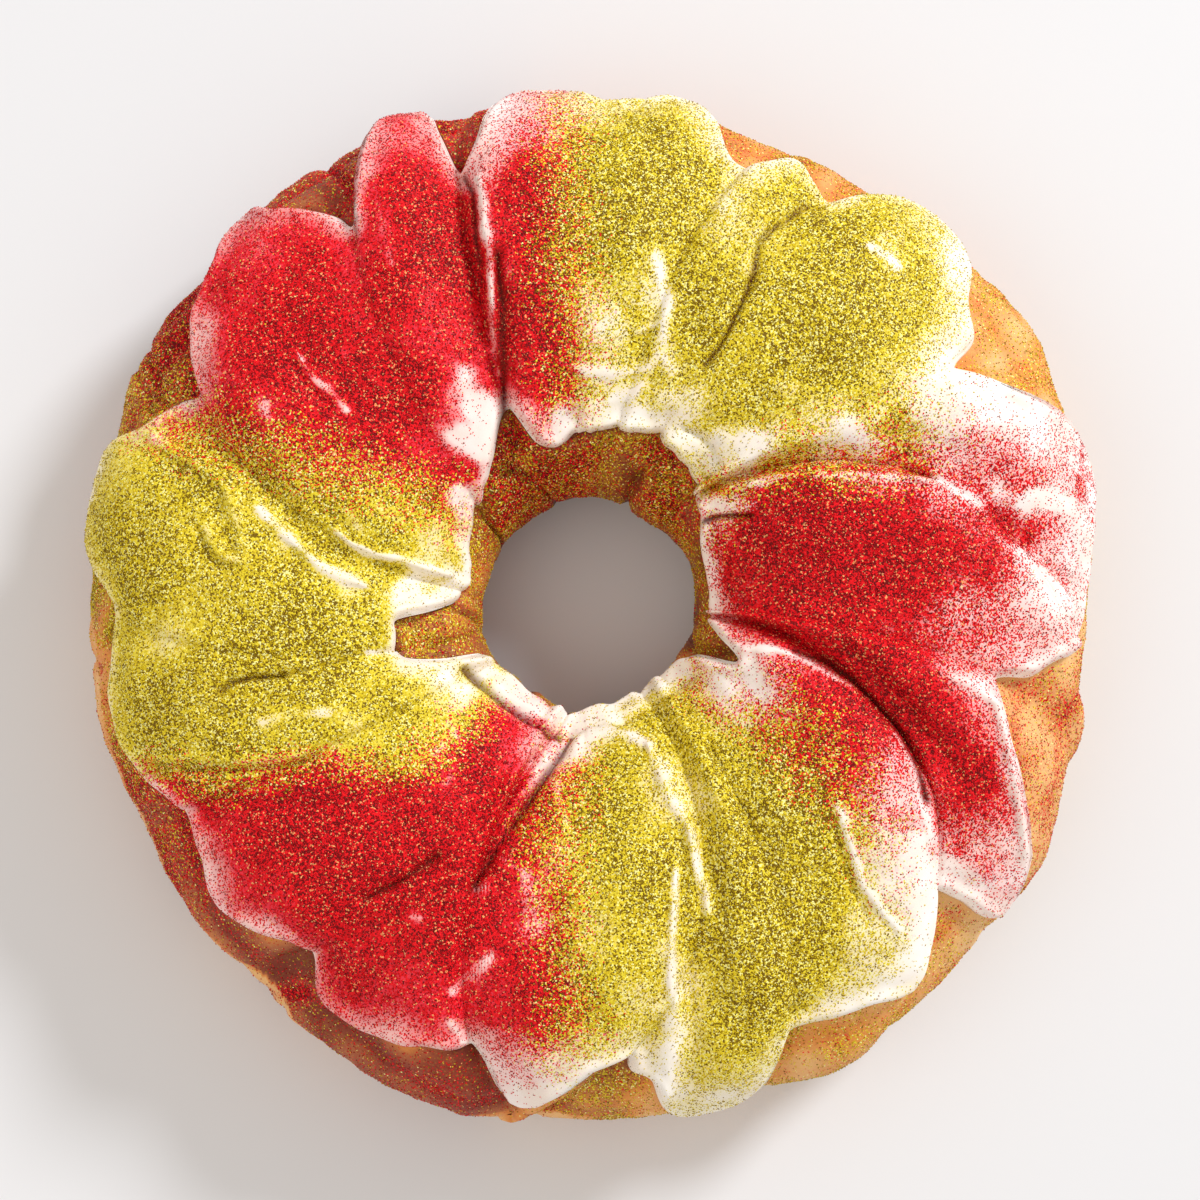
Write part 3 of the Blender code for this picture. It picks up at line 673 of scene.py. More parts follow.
def from_run(x, y, run):
    """Distance in plan from each point to a run of (ring angle, radius)."""
    angles, radii = np.radians([a for a, _ in run]), np.array([r for _, r in run], float)
    xs, ys = radii * np.cos(angles), radii * np.sin(angles)
    nearest = np.full(x.shape, 1e9)
    for x0, y0, x1, y1 in zip(xs[:-1], ys[:-1], xs[1:], ys[1:]):
        along = ((x - x0) * (x1 - x0) + (y - y0) * (y1 - y0)) / ((x1 - x0) ** 2 + (y1 - y0) ** 2)
        along = np.clip(along, 0, 1)
        gap = (x - x0 - along * (x1 - x0)) ** 2 + (y - y0 - along * (y1 - y0)) ** 2
        nearest = np.minimum(nearest, gap)
    return np.sqrt(nearest)


def read_marks(points):
    """What the marks give each point: relief in millimetres, bareness of sugar (in places a painted highlight),
    painted shade at the bottom of a crack.
    """
    x, y = points[:, 0] - AXIS[0], points[:, 1] - AXIS[1]
    waver = 1 + 0.35 * lumps(points, 5.0, 31)
    broken = np.clip(0.95 + 0.3 * lumps(points, 4.0, 33), 0.55, 1.1)
    relief, bare_and_highlight, painted_crack_shade = np.zeros((3, len(points)))
    for height, width, bareness, run in MARKS:
        reach = width * 3.2
        angles, radii = np.radians([a for a, _ in run]), np.array([r for _, r in run])
        xs, ys = radii * np.cos(angles), radii * np.sin(angles)
        near = (x > xs.min() - reach) & (x < xs.max() + reach) & (y > ys.min() - reach) & (y < ys.max() + reach)
        far = from_run(x[near], y[near], run) / (width * waver[near])
        relief[near] += MARK_STRENGTH * height * (np.exp(-far) if height < 0 else np.exp(-(far**2)))
        # white marks are bare icing, and in places painted highlights on lit ridges
        strength = bareness * (0.68 * np.exp(-((far / 0.9) ** 3)) + 0.34 * np.exp(-((far / 2.4) ** 2)))
        strength *= broken[near]
        bare_and_highlight[near] = np.where(bareness > 0, np.maximum(bare_and_highlight[near], strength), bare_and_highlight[near] + strength)
        # painted shade: deep cracks are darkened at the bottom
        if height <= CRACK_DEPTH:
            painted_crack_shade[near] = np.maximum(painted_crack_shade[near], np.exp(-((far / 0.75) ** 2)))
    thinner = np.zeros(len(points))
    for angle, radius, size, change in PATCHES:
        px, py = radius * math.cos(math.radians(angle)), radius * math.sin(math.radians(angle))
        thinner += change * np.exp(-((x - px) ** 2 + (y - py) ** 2) / size**2)
    return relief, bare_and_highlight + np.clip(thinner, -0.5, THINNEST_PATCH), painted_crack_shade


def red_share(points):
    """How much of the sugar at each point is red, from 0 to 1."""
    x, y = points[:, 0] - AXIS[0], points[:, 1] - AXIS[1]
    radius = np.hypot(x, y)
    angle = np.degrees(np.arctan2(y, x)) % FULL_TURN
    drift = 3.0 * lumps(points, 18.0, 5) + 1.6 * lumps(points, 5.0, 6)
    red = np.zeros(len(points))
    for begins, ends, (before, after) in zip(RED_BEGINS, RED_ENDS, TURNOVER_WIDTHS):
        low, high = np.interp(radius, TURNOVER_RADII, begins), np.interp(radius, TURNOVER_RADII, ends)
        for lap in (0, FULL_TURN):
            past_low = (angle + lap - low) * np.radians(radius) + drift
            short_of_high = (high - angle - lap) * np.radians(radius) + drift
            share = smooth_step(past_low, -before, before) * smooth_step(short_of_high, -after, after)
            red = np.maximum(red, share)
    return red


# ---------------------------------------------------------------- making meshes


def closed_net(name, points, turned=()):
    """One closed body from a net of points (columns, rows, 3) in millimetres."""
    count, rows = points.shape[:2]
    column, row = np.meshgrid(np.arange(count), np.arange(rows), indexing="ij")
    here, there = column * rows, (column + 1) % count * rows
    after = (row + 1) % rows
    faces = np.stack([here + row, here + after, there + after, there + row], -1).reshape(-1, 4)
    return mesh_object(name, points.reshape(-1, 3), faces)


def mesh_object(name, points, faces, smooth=True):
    mesh = bpy.data.meshes.new(name)
    sides = faces.shape[1]
    mesh.vertices.add(len(points))
    mesh.vertices.foreach_set("co", (points * MM).astype(np.float32).ravel())
    mesh.loops.add(faces.size)
    mesh.loops.foreach_set("vertex_index", faces.astype(np.int32).ravel())
    mesh.polygons.add(len(faces))
    mesh.polygons.foreach_set("loop_start", np.arange(0, faces.size, sides, dtype=np.int32))
    mesh.polygons.foreach_set("loop_total", np.full(len(faces), sides, dtype=np.int32))
    mesh.update(calc_edges=True)
    if smooth:
        mesh.shade_smooth()
    piece = bpy.data.objects.new(name, mesh)
    bpy.context.collection.objects.link(piece)
    return piece


def store(piece, **fields):
    for name, values in fields.items():
        layer = piece.data.attributes.new(name, "FLOAT", "POINT")
        layer.data.foreach_set("value", np.clip(values, 0, 1).astype(np.float32).ravel())


# ---------------------------------------------------------------- icing


def along_seam(strand, turn, first):
    """A SEAMS value at each point, blended between the three places along the groove."""
    rows = np.array(SEAMS)[strand % len(SEAMS), first : first + 3]
    low, middle, high = SEAM_TURNS
    to_crown = smooth_step(turn, low, middle)
    to_hole = smooth_step(turn, middle, high)
    return rows[..., 0] + (rows[..., 1] - rows[..., 0]) * to_crown + (rows[..., 2] - rows[..., 1]) * to_hole


def seams(strand, share, turn, points):
    """Creases along the grooves and the rolled edges beside them, in millimetres."""
    ahead = ring_angle(strand, np.ones_like(share), turn) - ring_angle(strand, np.zeros_like(share), turn)
    width = ahead * np.radians(1) * np.hypot(points[..., 0], points[..., 1])
    before, after = share * width, (1 - share) * width
    cut = along_seam(strand, turn, 3) * np.exp(-((before / CREASE_WIDTH) ** 2))
    cut = np.maximum(cut, along_seam(strand + 1, turn, 3) * np.exp(-((after / CREASE_WIDTH) ** 2)))
    lip = np.array(SEAMS)[(strand + 1) % len(SEAMS), 6]
    return lip * np.exp(-(((after - LIP_PLACE) / LIP_WIDTH) ** 2)) - cut


def icing_surface():
    """The icing's net with its fields: points (columns, rows, 3), red, gold."""
    strands, shares = strand_columns(ICING_COLUMNS_PER_DEGREE)
    inner = hem_turns(INNER_HEM, strands, shares, INNER_SOFTENING, 41)
    outer = hem_turns(OUTER_HEM, strands, shares, OUTER_SOFTENING, 42)
    even = np.linspace(0, 1, ICING_ROWS)
    steps = 0.45 * even + 0.55 * (1 - np.cos(math.pi * even)) / 2
    turn = inner[:, None] + (outer - inner)[:, None] * steps
    strand = np.repeat(strands[:, None], ICING_ROWS, 1)
    share = np.repeat(shares[:, None], ICING_ROWS, 1)
    angle = ring_angle(strand, share, turn)
    dough = -groove_depth(strand, share, turn, DOUGH_GROOVES, DOUGH_ROUND)
    under = place(angle, turn, dough + GAP)
    kept = along_seam(strand, turn, 0)
    kept = kept + (along_seam(strand + 1, turn, 0) - kept) * smooth_step(share, 0.3, 0.9)
    folds = groove_depth(strand, share, turn, ICING_GROOVES, ICING_ROUND) * kept
    full = np.maximum(ICING_THICKNESS - folds - dough - GAP, THINNEST_FOLD)
    from_outer = to_hem(under, under[:, -1])
    from_inner = to_hem(under, under[:, 0])
    from_rim = np.minimum(from_outer, from_inner)
    flat = under.reshape(-1, 3)
    seen = place(angle, turn, dough + GAP + full).reshape(-1, 3)
    relief, bare_and_highlight, painted_crack_shade = (field.reshape(turn.shape) for field in read_marks(seen))
    relief = relief + seams(strand, share, turn, under)
    swell = 0.6 * lumps(flat, 15.0, 11) + 0.25 * lumps(flat, 6.0, 12) + 0.06 * lumps(flat, 2.5, 13)
    ring = angle % FULL_TURN
    low, wide, narrow, high = FAT_RIM_ANGLES
    fat = FAT_RIM * smooth_step(ring, low, wide) * smooth_step(ring, high, narrow) * (from_inner < from_outer)
    rim = RIM_THICKNESS + fat + 0.3 * lumps(flat, 6.0, 14).reshape(turn.shape)
    thick = rim + (full - rim) * smooth_step(from_rim, 0, RIM_REACH)
    thick *= 1 - 0.4 * smooth_step(turn, 26, 6)
    thick += RIM_BEAD * np.exp(-(((from_rim - RIM_ROUND) / RIM_BEAD_WIDTH) ** 2))
    thick += (relief + swell.reshape(turn.shape)) * smooth_step(from_rim, 0.5, 4)
    edge = np.sqrt(1 - (1 - np.clip(from_rim / (RIM_ROUND + 0.5 * fat), 0, 1)) ** 2)
    top = place(angle, turn, dough + GAP + np.maximum(thick, THINNEST_FOLD) * edge)
    back = np.linspace(ICING_ROWS - 1, 0, ICING_BACK_ROWS + 2).round().astype(int)[1:-1]
    body = np.concatenate([top, under[:, back]], 1)

    ragged = 0.4 * lumps(flat, 3.5, 21) + 0.4 * lumps(flat, 9.0, 22) + 0.15 * lumps(flat, 2.4, 25)
    ragged = ragged.reshape(turn.shape)
    drift = 0.14 * lumps(flat, 24.0, 23).reshape(turn.shape) + 0.1 * lumps(flat, 9.0, 24).reshape(turn.shape)
    red = red_share(flat).reshape(turn.shape)
    flattened = under * (1, 1, RIM_LEVEL)
    seen_rim = to_hem(flattened, flattened[:, -1])
    angles, widths, baring = ordered(RIM_FADES)
    fade = np.interp(ring, angles, widths, period=FULL_TURN)
    baring = np.interp(ring, angles, baring, period=FULL_TURN)
    lip = 1 - baring * (1 - np.clip(seen_rim / fade + 0.2 * ragged, 0, 1)) ** 1.4
    creamy = 4.5 + 6 * smooth_step(ring, low - 15, wide) * smooth_step(ring, high + 15, narrow)
    lip = np.minimum(lip, 0.18 + 0.82 * np.clip((from_inner + 1.5 * ragged) / creamy, 0, 1))
    cover = (0.76 + drift) * lip * (1 - np.clip(bare_and_highlight * (1 + 0.35 * ragged), -0.5, BAREST))
    edge = smooth_step(np.minimum(seen_rim, from_inner) + 0.3 * ragged, 0.2, 1.7)
    cover = np.clip(cover, 0, 1) * (0.1 + 0.9 * edge)
    hidden = np.zeros_like(body[..., 0])
    fields = {}
    melted = np.interp(ring, *ordered(MELTED), period=FULL_TURN)
    # the crack field is painted shade at the bottom of deep cracks
    named = {"red_coat": cover * red, "gold_coat": cover * (1 - red), "crack_shade": painted_crack_shade, "melted": melted}
    for name, values in named.items():
        full_net = hidden.copy()
        full_net[:, :ICING_ROWS] = values
        fields[name] = full_net
    return body, fields


# ---------------------------------------------------------------- bread


def bread_surface():
    strands, shares = strand_columns(BREAD_COLUMNS_PER_DEGREE)
    inner = hem_turns(INNER_HEM, strands, shares, INNER_SOFTENING, 41)
    outer = hem_turns(OUTER_HEM, strands, shares, OUTER_SOFTENING, 42)
    steps = [np.linspace(0, 1, BREAD_COVERED_ROWS) * (outer - inner)[:, None] + inner[:, None]]
    side = np.linspace(0, 1, BREAD_SIDE_ROWS + 1)[1:]
    steps.append(outer[:, None] + (BASE_OUTER_TURN - outer)[:, None] * side)
    base = np.linspace(0, 1, BREAD_BASE_ROWS + 1)[1:]
    steps.append(np.repeat((BASE_OUTER_TURN + (BASE_INNER_TURN - BASE_OUTER_TURN) * base)[None], len(inner), 0))
    hole = np.linspace(0, 1, BREAD_HOLE_ROWS + 1)[1:-1]
    steps.append(BASE_INNER_TURN + (inner - FULL_TURN - BASE_INNER_TURN)[:, None] * hole)
    turn = np.concatenate(steps, 1)
    strand = np.repeat(strands[:, None], turn.shape[1], 1)
    share = np.repeat(shares[:, None], turn.shape[1], 1)
    angle = ring_angle(strand, share, turn)
    dough = -groove_depth(strand, share, turn, DOUGH_GROOVES, DOUGH_ROUND)
    bare_rope = place(angle, turn, dough)
    flat = bare_rope.reshape(-1, 3)
    swell = 0.6 * lumps(flat, 16.0, 51) + 0.25 * lumps(flat, 5.0, 52) + 0.12 * lumps(flat, 2.0, 53)
    covered = np.zeros(turn.shape)
    covered[:, :BREAD_COVERED_ROWS] = 1
    warp = 7 * lumps(flat, 40.0, 54).reshape(turn.shape)
    wrapped = np.where(turn < -180, turn + FULL_TURN, turn)
    along = (wrapped + ROPE_LEAN * angle * np.sign(np.cos(np.radians(wrapped))) + warp) / ROPE_PACE
    ridge = np.abs(np.sin(math.pi * along)) ** 0.6
    angles, heights = ordered(ROPE_HEIGHTS)
    ropes = np.interp(angle % FULL_TURN, angles, heights, period=FULL_TURN) * (ridge - 0.7)
    inside = smooth_step(np.cos(np.radians(turn)), 0.1, -0.3)
    humps = lumps(flat * (1, 1, 0.5), 13.0, 55).reshape(turn.shape)
    creases = np.exp(-((lumps(flat * (1, 1, 0.4), 17.0, 56).reshape(turn.shape) / 0.12) ** 2))
    ropes = ropes + (1.6 * humps - 2.2 * creases - ropes) * inside
    showing = (1 - covered) * smooth_step(bare_rope[..., 2], 1, 9) * smooth_step(bare_rope[..., 2], 66, 56)
    ring = angle % FULL_TURN
    x, y = flat[:, 0] - AXIS[0], flat[:, 1] - AXIS[1]
    furrow, caught = np.zeros((2, *turn.shape))
    for width, red, run in CRUST_CREASES:
        far = from_run(x, y, run).reshape(turn.shape) / width
        furrow = np.maximum(furrow, np.exp(-far))
        caught = np.maximum(caught, red * np.exp(-((far / 1.6) ** 2)))
    above = smooth_step(bare_rope[..., 2], 16, 26) * (1 - covered)
    outside = smooth_step(np.cos(np.radians(turn)), 0.2, 0.6)
    swollen = np.interp(ring, *ordered(STRAND_SWELLS), period=FULL_TURN)
    bulge = swollen * outside * (1 - covered) * smooth_step(bare_rope[..., 2], 50, 36) * smooth_step(bare_rope[..., 2], 0, 8)
    body = place(angle, turn, dough + (swell.reshape(turn.shape) + ropes) * showing + bulge - 1.8 * furrow * above - 0.05)

    angles, red, gold, brown = ordered(BREAD_TINTS)
    height = body[..., 2]
    patchy = lumps(flat, 9.0, 61).reshape(turn.shape)
    reach = np.hypot(body[..., 0] - AXIS[0], body[..., 1] - AXIS[1])
    inward = reach.max(axis=1, keepdims=True) - reach
    inward = np.where(height < WAIST_HEIGHT, 0, inward)
    pale_width = np.interp(ring, *ordered(PALE_WIDTHS), period=FULL_TURN)
    pale = smooth_step(inward + 0.25 * patchy, pale_width + 0.4, pale_width - 0.4) * (1 - inside)
    pale *= np.clip(pale_width, 0, 1) * smooth_step(height, 6, 14)
    high = smooth_step(height + 5 * patchy, 15, 33) * (1 - 0.85 * pale)
    inner_red = 0.2 + 0.9 * smooth_step(np.cos(np.radians(ring - 114)), 0.85, 0.97)
    inner_red = inner_red + 0.5 * smooth_step(np.cos(np.radians(ring - 52)), 0.9, 0.99)
    inner_brown = 0.72 + 0.5 * smooth_step(np.cos(np.radians(ring - 65)), -0.3, 0.6)
    red = np.interp(ring, angles, red, period=FULL_TURN) * (1 - inside) + inner_red * inside
    gold = np.interp(ring, angles, gold, period=FULL_TURN) * (1 - inside) + 0.55 * inside
    brown = np.interp(ring, angles, brown, period=FULL_TURN) * (1 - inside) + inner_brown * inside
    dusty = np.clip(0.75 + 0.35 * patchy, 0, 1.2) * high * (1 - covered)
    low = smooth_step(height, 16, 4)
    # painted shade: the groove darkening is strongest on the left, the side away from the key light
    shaded_side = 0.1 + 0.9 * smooth_step(np.cos(np.radians(ring - 185)), -0.2, 0.6)
    # the crust's browning, with painted shade added: darker in the valleys between ropes, in the dough's grooves and
    # in the creases, lighter on the rope tops and on the humps of the hole wall
    browning_and_shade = brown + 0.4 * (0.6 - ridge) * (0.3 + 0.7 * shaded_side) * (1 - low) * (1 - inside) + 0.12 * patchy
    browning_and_shade += inside * (0.7 * creases - 0.2 * humps) - 0.25 * low - 0.1 * dough * (1 - low) * shaded_side
    browning_and_shade += 0.5 * np.maximum(furrow - 0.2, 0) * above
    fields = {
        "red_coat": red * dusty * (1.25 - 0.6 * ridge) + caught * above * (1 - 0.8 * pale),
        "gold_coat": 0.9 * gold * dusty * (0.5 + 0.5 * ridge),
        "browning_and_shade": browning_and_shade + (0.2 + 0.1 * patchy - browning_and_shade) * pale,
        "melted": np.full(turn.shape, 0.2),
    }
    return body, fields


# ---------------------------------------------------------------- sugar


def scatter_places(surfaces, coat, count, seed):
    """Random places on the coated surfaces, as points and normals in millimetres."""
    random = np.random.default_rng(seed)
    corners, ways, weights = [], [], []
    for body, fields in surfaces:
        a, b = body, np.roll(body, -1, axis=0)
        c, d = np.roll(b, -1, axis=1), np.roll(a, -1, axis=1)
        way = np.cross(d - b, c - a)
        size = np.linalg.norm(way, axis=-1)
        corners.append(np.stack([a, b, c, d], 2).reshape(-1, 4, 3))
        ways.append((way / np.maximum(size, 1e-9)[..., None]).reshape(-1, 3))
        weights.append((size * fields[coat]).ravel())
    corners, ways, weights = np.concatenate(corners), np.concatenate(ways), np.concatenate(weights)
    total = np.cumsum(weights)
    chosen = np.searchsorted(total, random.uniform(0, total[-1], count))
    u, v = random.uniform(0, 1, (2, count, 1))
    a, b, c, d = (corners[chosen, i] for i in range(4))
    points = a * (1 - u) * (1 - v) + b * u * (1 - v) + c * u * v + d * (1 - u) * v
    return points, ways[chosen]


def grain_piece(name, surfaces, coat, grade, seed, tones):
    """One kind of sugar: little four-sided crystals, turned every way, in several tones."""
    count = GRAINS[grade]
    points, ways = scatter_places(surfaces, coat, count, seed)
    random = np.random.default_rng(seed + 1)
    crystal = np.array(((1, 1, 1), (1, -1, -1), (-1, 1, -1), (-1, -1, 1)), float)
    turned = random.normal(size=(count, 4))
    turned /= np.linalg.norm(turned, axis=1)[:, None]
    w, x, y, z = turned.T
    spin = np.stack([
        np.stack([1 - 2 * (y * y + z * z), 2 * (x * y - z * w), 2 * (x * z + y * w)], -1),
        np.stack([2 * (x * y + z * w), 1 - 2 * (x * x + z * z), 2 * (y * z - x * w)], -1),
        np.stack([2 * (x * z - y * w), 2 * (y * z + x * w), 1 - 2 * (x * x + y * y)], -1),
    ], 1)
    low, high = GRAIN_SIZES[grade]
    size = random.uniform(low, high, count)[:, None, None]
    stretch = random.uniform(0.75, 1.25, (count, 4, 1))
    corners = np.einsum("nij,kj->nki", spin, crystal) * size * stretch / 2
    corners += (points + ways * size[:, 0] * 0.25)[:, None]
    first = np.arange(count)[:, None, None] * 4
    sides = np.array(((0, 1, 2), (0, 3, 1), (0, 2, 3), (1, 3, 2)))
    faces = (first + sides).reshape(-1, 3)
    piece = mesh_object(name, corners.reshape(-1, 3), faces, smooth=False)
    for tone in tones:
        piece.data.materials.append(tone)
    # the last tone, pale and bright, gives a share of the grains a painted glint
    odds = np.cumsum([0.4, 0.53, 0.07])
    picked = np.searchsorted(odds / odds[-1], random.uniform(0, 1, count))
    piece.data.polygons.foreach_set("material_index", np.repeat(picked, 4).astype(np.int32))
    return piece


# ---------------------------------------------------------------- materials


class Wire:
    """A value on its way through a material's nodes, so that shader maths reads as Python."""

    def __init__(self, tree, socket):
        self.tree, self.socket = tree, socket

    def node(self, kind, settings=None, out=0, **values):
        return add_node(self.tree, kind, settings, out, values)

    def maths(self, operation, first, second=0.0, clamp=False):
        kind = {"operation": operation, "use_clamp": clamp}
        return add_node(self.tree, "ShaderNodeMath", kind, 0, {0: first, 1: second})

    def __add__(self, other):
        return self.maths("ADD", self, other)

    __radd__ = __add__

    def __sub__(self, other):
        return self.maths("SUBTRACT", self, other)

    def __rsub__(self, other):
        return self.maths("SUBTRACT", other, self)

    def __mul__(self, other):
        return self.maths("MULTIPLY", self, other)

    __rmul__ = __mul__

    def __truediv__(self, other):
        return self.maths("DIVIDE", self, other)

    def __pow__(self, other):
        return self.maths("POWER", self, other)

    def __gt__(self, other):
        return self.maths("GREATER_THAN", self, other)

    def __lt__(self, other):
        return self.maths("LESS_THAN", self, other)

    def clamped(self):
        return self.maths("ADD", self, 0.0, clamp=True)

    def step(self, low, high):
        """0 below low and 1 above high, smooth between."""
        settings = {"interpolation_type": "SMOOTHSTEP"}
        return add_node(self.tree, "ShaderNodeMapRange", settings, 0, {0: self, 1: low, 2: high})

    def tint(self, low, high):
        """A colour from low, where this value is 0, to high, where it is 1."""
        settings = {"data_type": "RGBA", "blend_type": "MIX"}
        return add_node(self.tree, "ShaderNodeMix", settings, 2, {0: self, 6: low, 7: high})


def add_node(tree, kind, settings=None, out=0, values=None):
    """Adds one node: its settings first, then the values or links of its sockets."""
    made = tree.nodes.new(kind)
    for name, value in (settings or {}).items():
        setattr(made, name, value)
    for key, value in (values or {}).items():
        socket = made.inputs[key]
        if isinstance(value, Wire):
            tree.links.new(value.socket, socket)
        elif isinstance(value, tuple) and len(value) == 3 and socket.type == "RGBA":
            socket.default_value = (*value, 1)
        else:
            socket.default_value = value
    return Wire(tree, made.outputs[out])


def new_material(name, **constants):
    material = bpy.data.materials.new(name)
    material.use_nodes = True
    surface = material.node_tree.nodes["Principled BSDF"]
    for socket, value in constants.items():
        surface.inputs[socket.replace("_", " ").title().replace("Ior", "IOR")].default_value = value
    return material, material.node_tree, surface


def srgb(red, green, blue):
    """Scene colour of a paint chip given in display values from 0 to 255."""
    chip = np.array((red, green, blue)) / 255
    return tuple(float(v) for v in np.where(chip < 0.04045, chip / 12.92, ((chip + 0.055) / 1.055) ** 2.4))


def feed(tree, surface, **wires):
    names = {"colour": "Base Color", "roughness": "Roughness", "normal": "Normal"}
    for name, wire in wires.items():
        tree.links.new(wire.socket, surface.inputs[names[name]])


def sugared(tree, plain, red_ground, gold_ground, spread):
    """Colour, grain height and thickness of the sugar over a plain colour, which it stains thin and deep."""
    spot = add_node(tree, "ShaderNodeTexCoord", None, 3)
    red = add_node(tree, "ShaderNodeAttribute", {"attribute_name": "red_coat"}, 2)
    gold = add_node(tree, "ShaderNodeAttribute", {"attribute_name": "gold_coat"}, 2)
    settings = {"voronoi_dimensions": "3D", "feature": "F1"}
    cells = {"Vector": spot, "Scale": CELLS_PER_METRE, "Randomness": 1.0}
    chance = add_node(tree, "ShaderNodeTexVoronoi", settings, 1, cells)
    mound = add_node(tree, "ShaderNodeTexVoronoi", settings, 0, cells)
    parts = add_node(tree, "ShaderNodeSeparateColor", None, 0, {0: chance}).socket.node
    first, second, third = (Wire(tree, out) for out in parts.outputs)
    drift = add_node(tree, "ShaderNodeTexNoise", None, 0, {"Vector": spot, "Scale": 240.0, "Detail": 3.0})
    coat = (red + gold).clamped()
    is_red = first < red / (red + gold + 0.0001)
    melted = add_node(tree, "ShaderNodeAttribute", {"attribute_name": "melted"}, 2)
    deep = coat.step(0.4, 1.0)
    thin = (coat * (0.7 + melted * 1.3) + coat.step(0.5, 0.85) * 0.4).clamped()
    clump = add_node(tree, "ShaderNodeTexNoise", None, 0, {"Vector": spot, "Scale": 800.0, "Detail": 2.0})
    red_stain = thin.tint(plain, deep.tint(*red_ground))
    gold_stain = thin.tint(plain, deep.tint(*gold_ground))
    dark_share = 0.05 + deep * 0.28 + clump.step(0.4, 0.7) * (0.16 + deep * 0.3)
    red_grain_and_glint = (third > dark_share).tint(srgb(118, 0, 4), (third * 1.3 - 0.3).tint(srgb(212, 0, 10), srgb(255, 22, 34)))
    gold_grain_and_glint = (third > dark_share).tint(srgb(122, 94, 0), (third * 1.3 - 0.3).tint(srgb(212, 184, 0), srgb(255, 240, 70)))
    # painted glints: a share of the sugar cells turns pale and bright, as sparkle
    red_grain_and_glint = (third > 0.95).tint(red_grain_and_glint, srgb(255, 172, 108))
    gold_grain_and_glint = (third > 0.83).tint(gold_grain_and_glint, srgb(255, 251, 160))
    covered = (coat * spread + (drift - 0.5) * 0.4 * spread > second) * (mound < 0.42 + coat * 0.6)
    colour = covered.tint(is_red.tint(gold_stain, red_stain), is_red.tint(gold_grain_and_glint, red_grain_and_glint))
    height = covered * (1 - mound.step(0.0, 0.6)) * 0.6 + drift * 0.2
    return colour, height, coat


def icing_finish():
    material, tree, surface = new_material("sugared_icing", roughness=0.42, specular_ior_level=0.2)
    place_ = add_node(tree, "ShaderNodeTexCoord", None, 3)
    soft = add_node(tree, "ShaderNodeTexNoise", None, 0, {"Vector": place_, "Scale": 90.0, "Detail": 4.0})
    plain = soft.step(0.3, 0.75).tint(srgb(246, 236, 224), srgb(253, 250, 245))
    colour, height, coat = sugared(
        tree, plain, (srgb(240, 56, 74), srgb(198, 0, 10)), (srgb(242, 222, 78), srgb(190, 162, 0)), 1.3)
    crack_shade = add_node(tree, "ShaderNodeAttribute", {"attribute_name": "crack_shade"}, 2)
    # painted shade: the bottoms of deep cracks are darkened towards brown
    colour = (crack_shade * 0.9).tint(colour, srgb(92, 26, 14))
    bump = add_node(tree, "ShaderNodeBump", None, 0, {"Strength": 0.7, "Distance": 0.0004, "Height": height})
    feed(tree, surface, colour=colour, normal=bump, roughness=0.38 + coat * 0.2)
    return material


def bread_finish():
    material, tree, surface = new_material("browned_crust", roughness=0.6, specular_ior_level=0.25)
    place_ = add_node(tree, "ShaderNodeTexCoord", None, 3)
    browning_and_shade = add_node(tree, "ShaderNodeAttribute", {"attribute_name": "browning_and_shade"}, 2)
    mottle = add_node(tree, "ShaderNodeTexNoise", None, 0, {"Vector": place_, "Scale": 70.0, "Detail": 6.0})
    pores = add_node(tree, "ShaderNodeTexNoise", None, 0, {"Vector": place_, "Scale": 900.0, "Detail": 3.0})
    # bake holds the crust's browning together with the painted shade of its grooves and creases
    bake = (browning_and_shade + (mottle - 0.5) * 0.7).clamped()
    golden = bake.step(0.0, 0.45).tint(srgb(240, 192, 126), srgb(226, 142, 66))
    brown = bake.step(0.4, 0.7).tint(golden, srgb(172, 98, 56))
    crust = bake.step(0.65, 1.0).tint(brown, srgb(104, 42, 22))
    colour, height, coat = sugared(
        tree, crust, (srgb(188, 66, 50), srgb(96, 8, 6)), (srgb(222, 150, 60), srgb(168, 116, 8)), 0.75)
    relief = height + mottle * 0.8 + pores * 0.5
    bump = add_node(tree, "ShaderNodeBump", None, 0, {"Strength": 0.6, "Distance": 0.0005, "Height": relief})
    feed(tree, surface, colour=colour, normal=bump, roughness=0.5 + coat * 0.15)
    return material


def sugar_tone(name, chip):
    material, _, surface = new_material(name, roughness=0.3, specular_ior_level=0.3)
    surface.inputs["Base Color"].default_value = (*srgb(*chip), 1)
    return material


# ---------------------------------------------------------------- the cake

bread_net, bread_fields = bread_surface()
icing_net, icing_fields = icing_surface()

bread = closed_net("bread_crust", bread_net)
store(bread, **bread_fields)
bread.data.materials.append(bread_finish())
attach(bread, "root")
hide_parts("bread")

icing = closed_net("icing_sheet", icing_net)
store(icing, **icing_fields)
icing.data.materials.append(icing_finish())
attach(icing, "root")
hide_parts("icing")

RED_TONES = [
    sugar_tone("crimson_sugar", (166, 0, 8)),
    sugar_tone("cherry_sugar", (232, 6, 26)),
    # painted glint: the pale sparkle tone of the red sugar
    sugar_tone("painted_glint_red_sugar", (255, 188, 130)),
]
GOLD_TONES = [
    sugar_tone("amber_sugar", (160, 128, 0)),
    sugar_tone("lemon_sugar", (234, 206, 14)),
    # painted glint: the pale sparkle tone of the gold sugar
    sugar_tone("painted_glint_gold_sugar", (255, 246, 136)),
]
SURFACES = ((icing_net, icing_fields), (bread_net, bread_fields))
for colour, tones, seed in (("red", RED_TONES, 101), ("gold", GOLD_TONES, 201)):
    for grade in GRAINS:
        name = f"{colour}_sugar_{grade}"
        sugar = grain_piece(name, SURFACES, f"{colour}_coat", grade, seed + len(grade), tones)
        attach(sugar, "root")

# ---------------------------------------------------------------- floor, light and camera

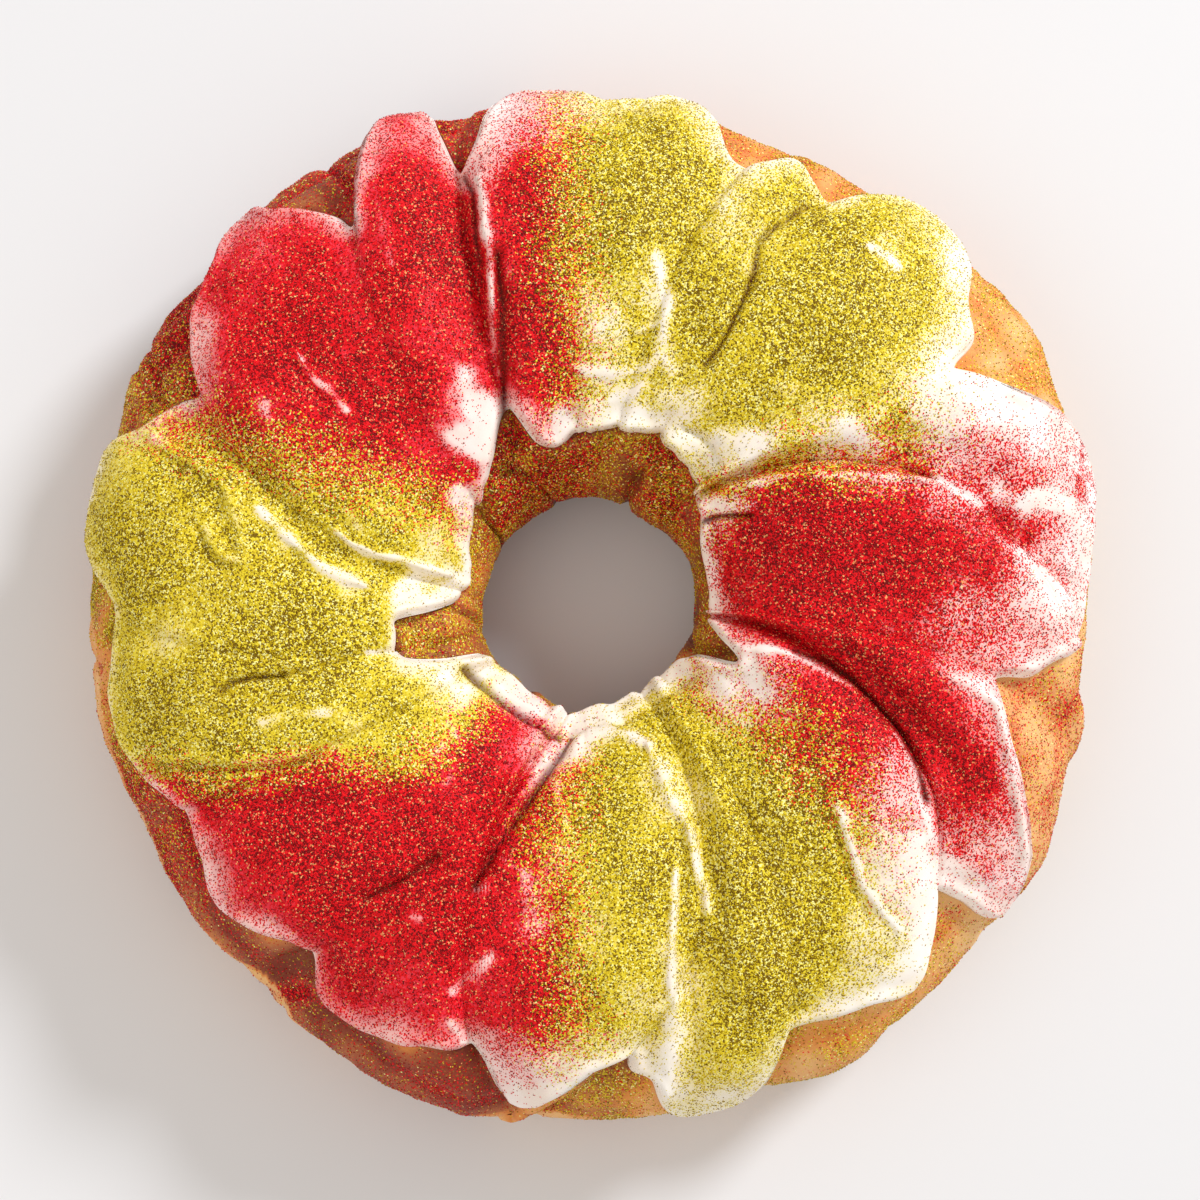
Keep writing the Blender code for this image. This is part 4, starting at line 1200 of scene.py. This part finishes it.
FLOOR_SIZE = 6.0
CAMERA_ELEVATION, CAMERA_DISTANCE, LENS, SENSOR = 87.0, 0.85, 85.0, 36.0
AIM = Vector((AXIS[0] + 3.0, AXIS[1] + 1.35, WAIST_HEIGHT)) * MM


def make_floor():
    side = FLOOR_SIZE / 2 / MM
    corners = np.array(((-side, -side, 0), (side, -side, 0), (side, side, 0), (-side, side, 0)))
    floor = mesh_object("floor", corners, np.array(((0, 1, 2, 3),)), smooth=False)
    material, _, surface = new_material("pale_floor", roughness=0.6)
    surface.inputs["Base Color"].default_value = (*srgb(227, 229, 231), 1)
    floor.data.materials.append(material)


def aimed(thing, position, target):
    thing.location = position
    thing.rotation_euler = (target - Vector(position)).to_track_quat("-Z", "Y").to_euler()
    bpy.context.collection.objects.link(thing)


def softbox(name, azimuth, elevation, distance, size, power, chip):
    lamp = bpy.data.lights.new(name, "AREA")
    lamp.shape = "DISK"
    lamp.size = size
    lamp.energy = power
    lamp.color = srgb(*chip)
    a, e = math.radians(azimuth), math.radians(elevation)
    way = Vector((math.cos(e) * math.cos(a), math.cos(e) * math.sin(a), math.sin(e)))
    aimed(bpy.data.objects.new(name, lamp), way * distance, Vector((0, 0, 0.03)))


def light_studio():
    softbox("key", 42, 34, 4.5, 1.1, 159, (250, 251, 255))
    softbox("fill", 205, 55, 1.8, 1.4, 5, (255, 238, 220))
    world = bpy.data.worlds.new("studio")
    world.use_nodes = True
    sky = world.node_tree.nodes["Background"]
    sky.inputs["Color"].default_value = (*srgb(255, 250, 246), 1)
    sky.inputs["Strength"].default_value = 0.66
    bpy.context.scene.world = world
    bpy.context.scene.view_settings.view_transform = "Standard"


def set_camera():
    lens = bpy.data.cameras.new("camera")
    lens.lens, lens.sensor_width = LENS, SENSOR
    e = math.radians(CAMERA_ELEVATION)
    position = AIM + Vector((0, -math.cos(e), math.sin(e))) * CAMERA_DISTANCE
    camera = bpy.data.objects.new("camera", lens)
    aimed(camera, position, AIM)
    bpy.context.scene.camera = camera


make_floor()
light_studio()
set_camera()
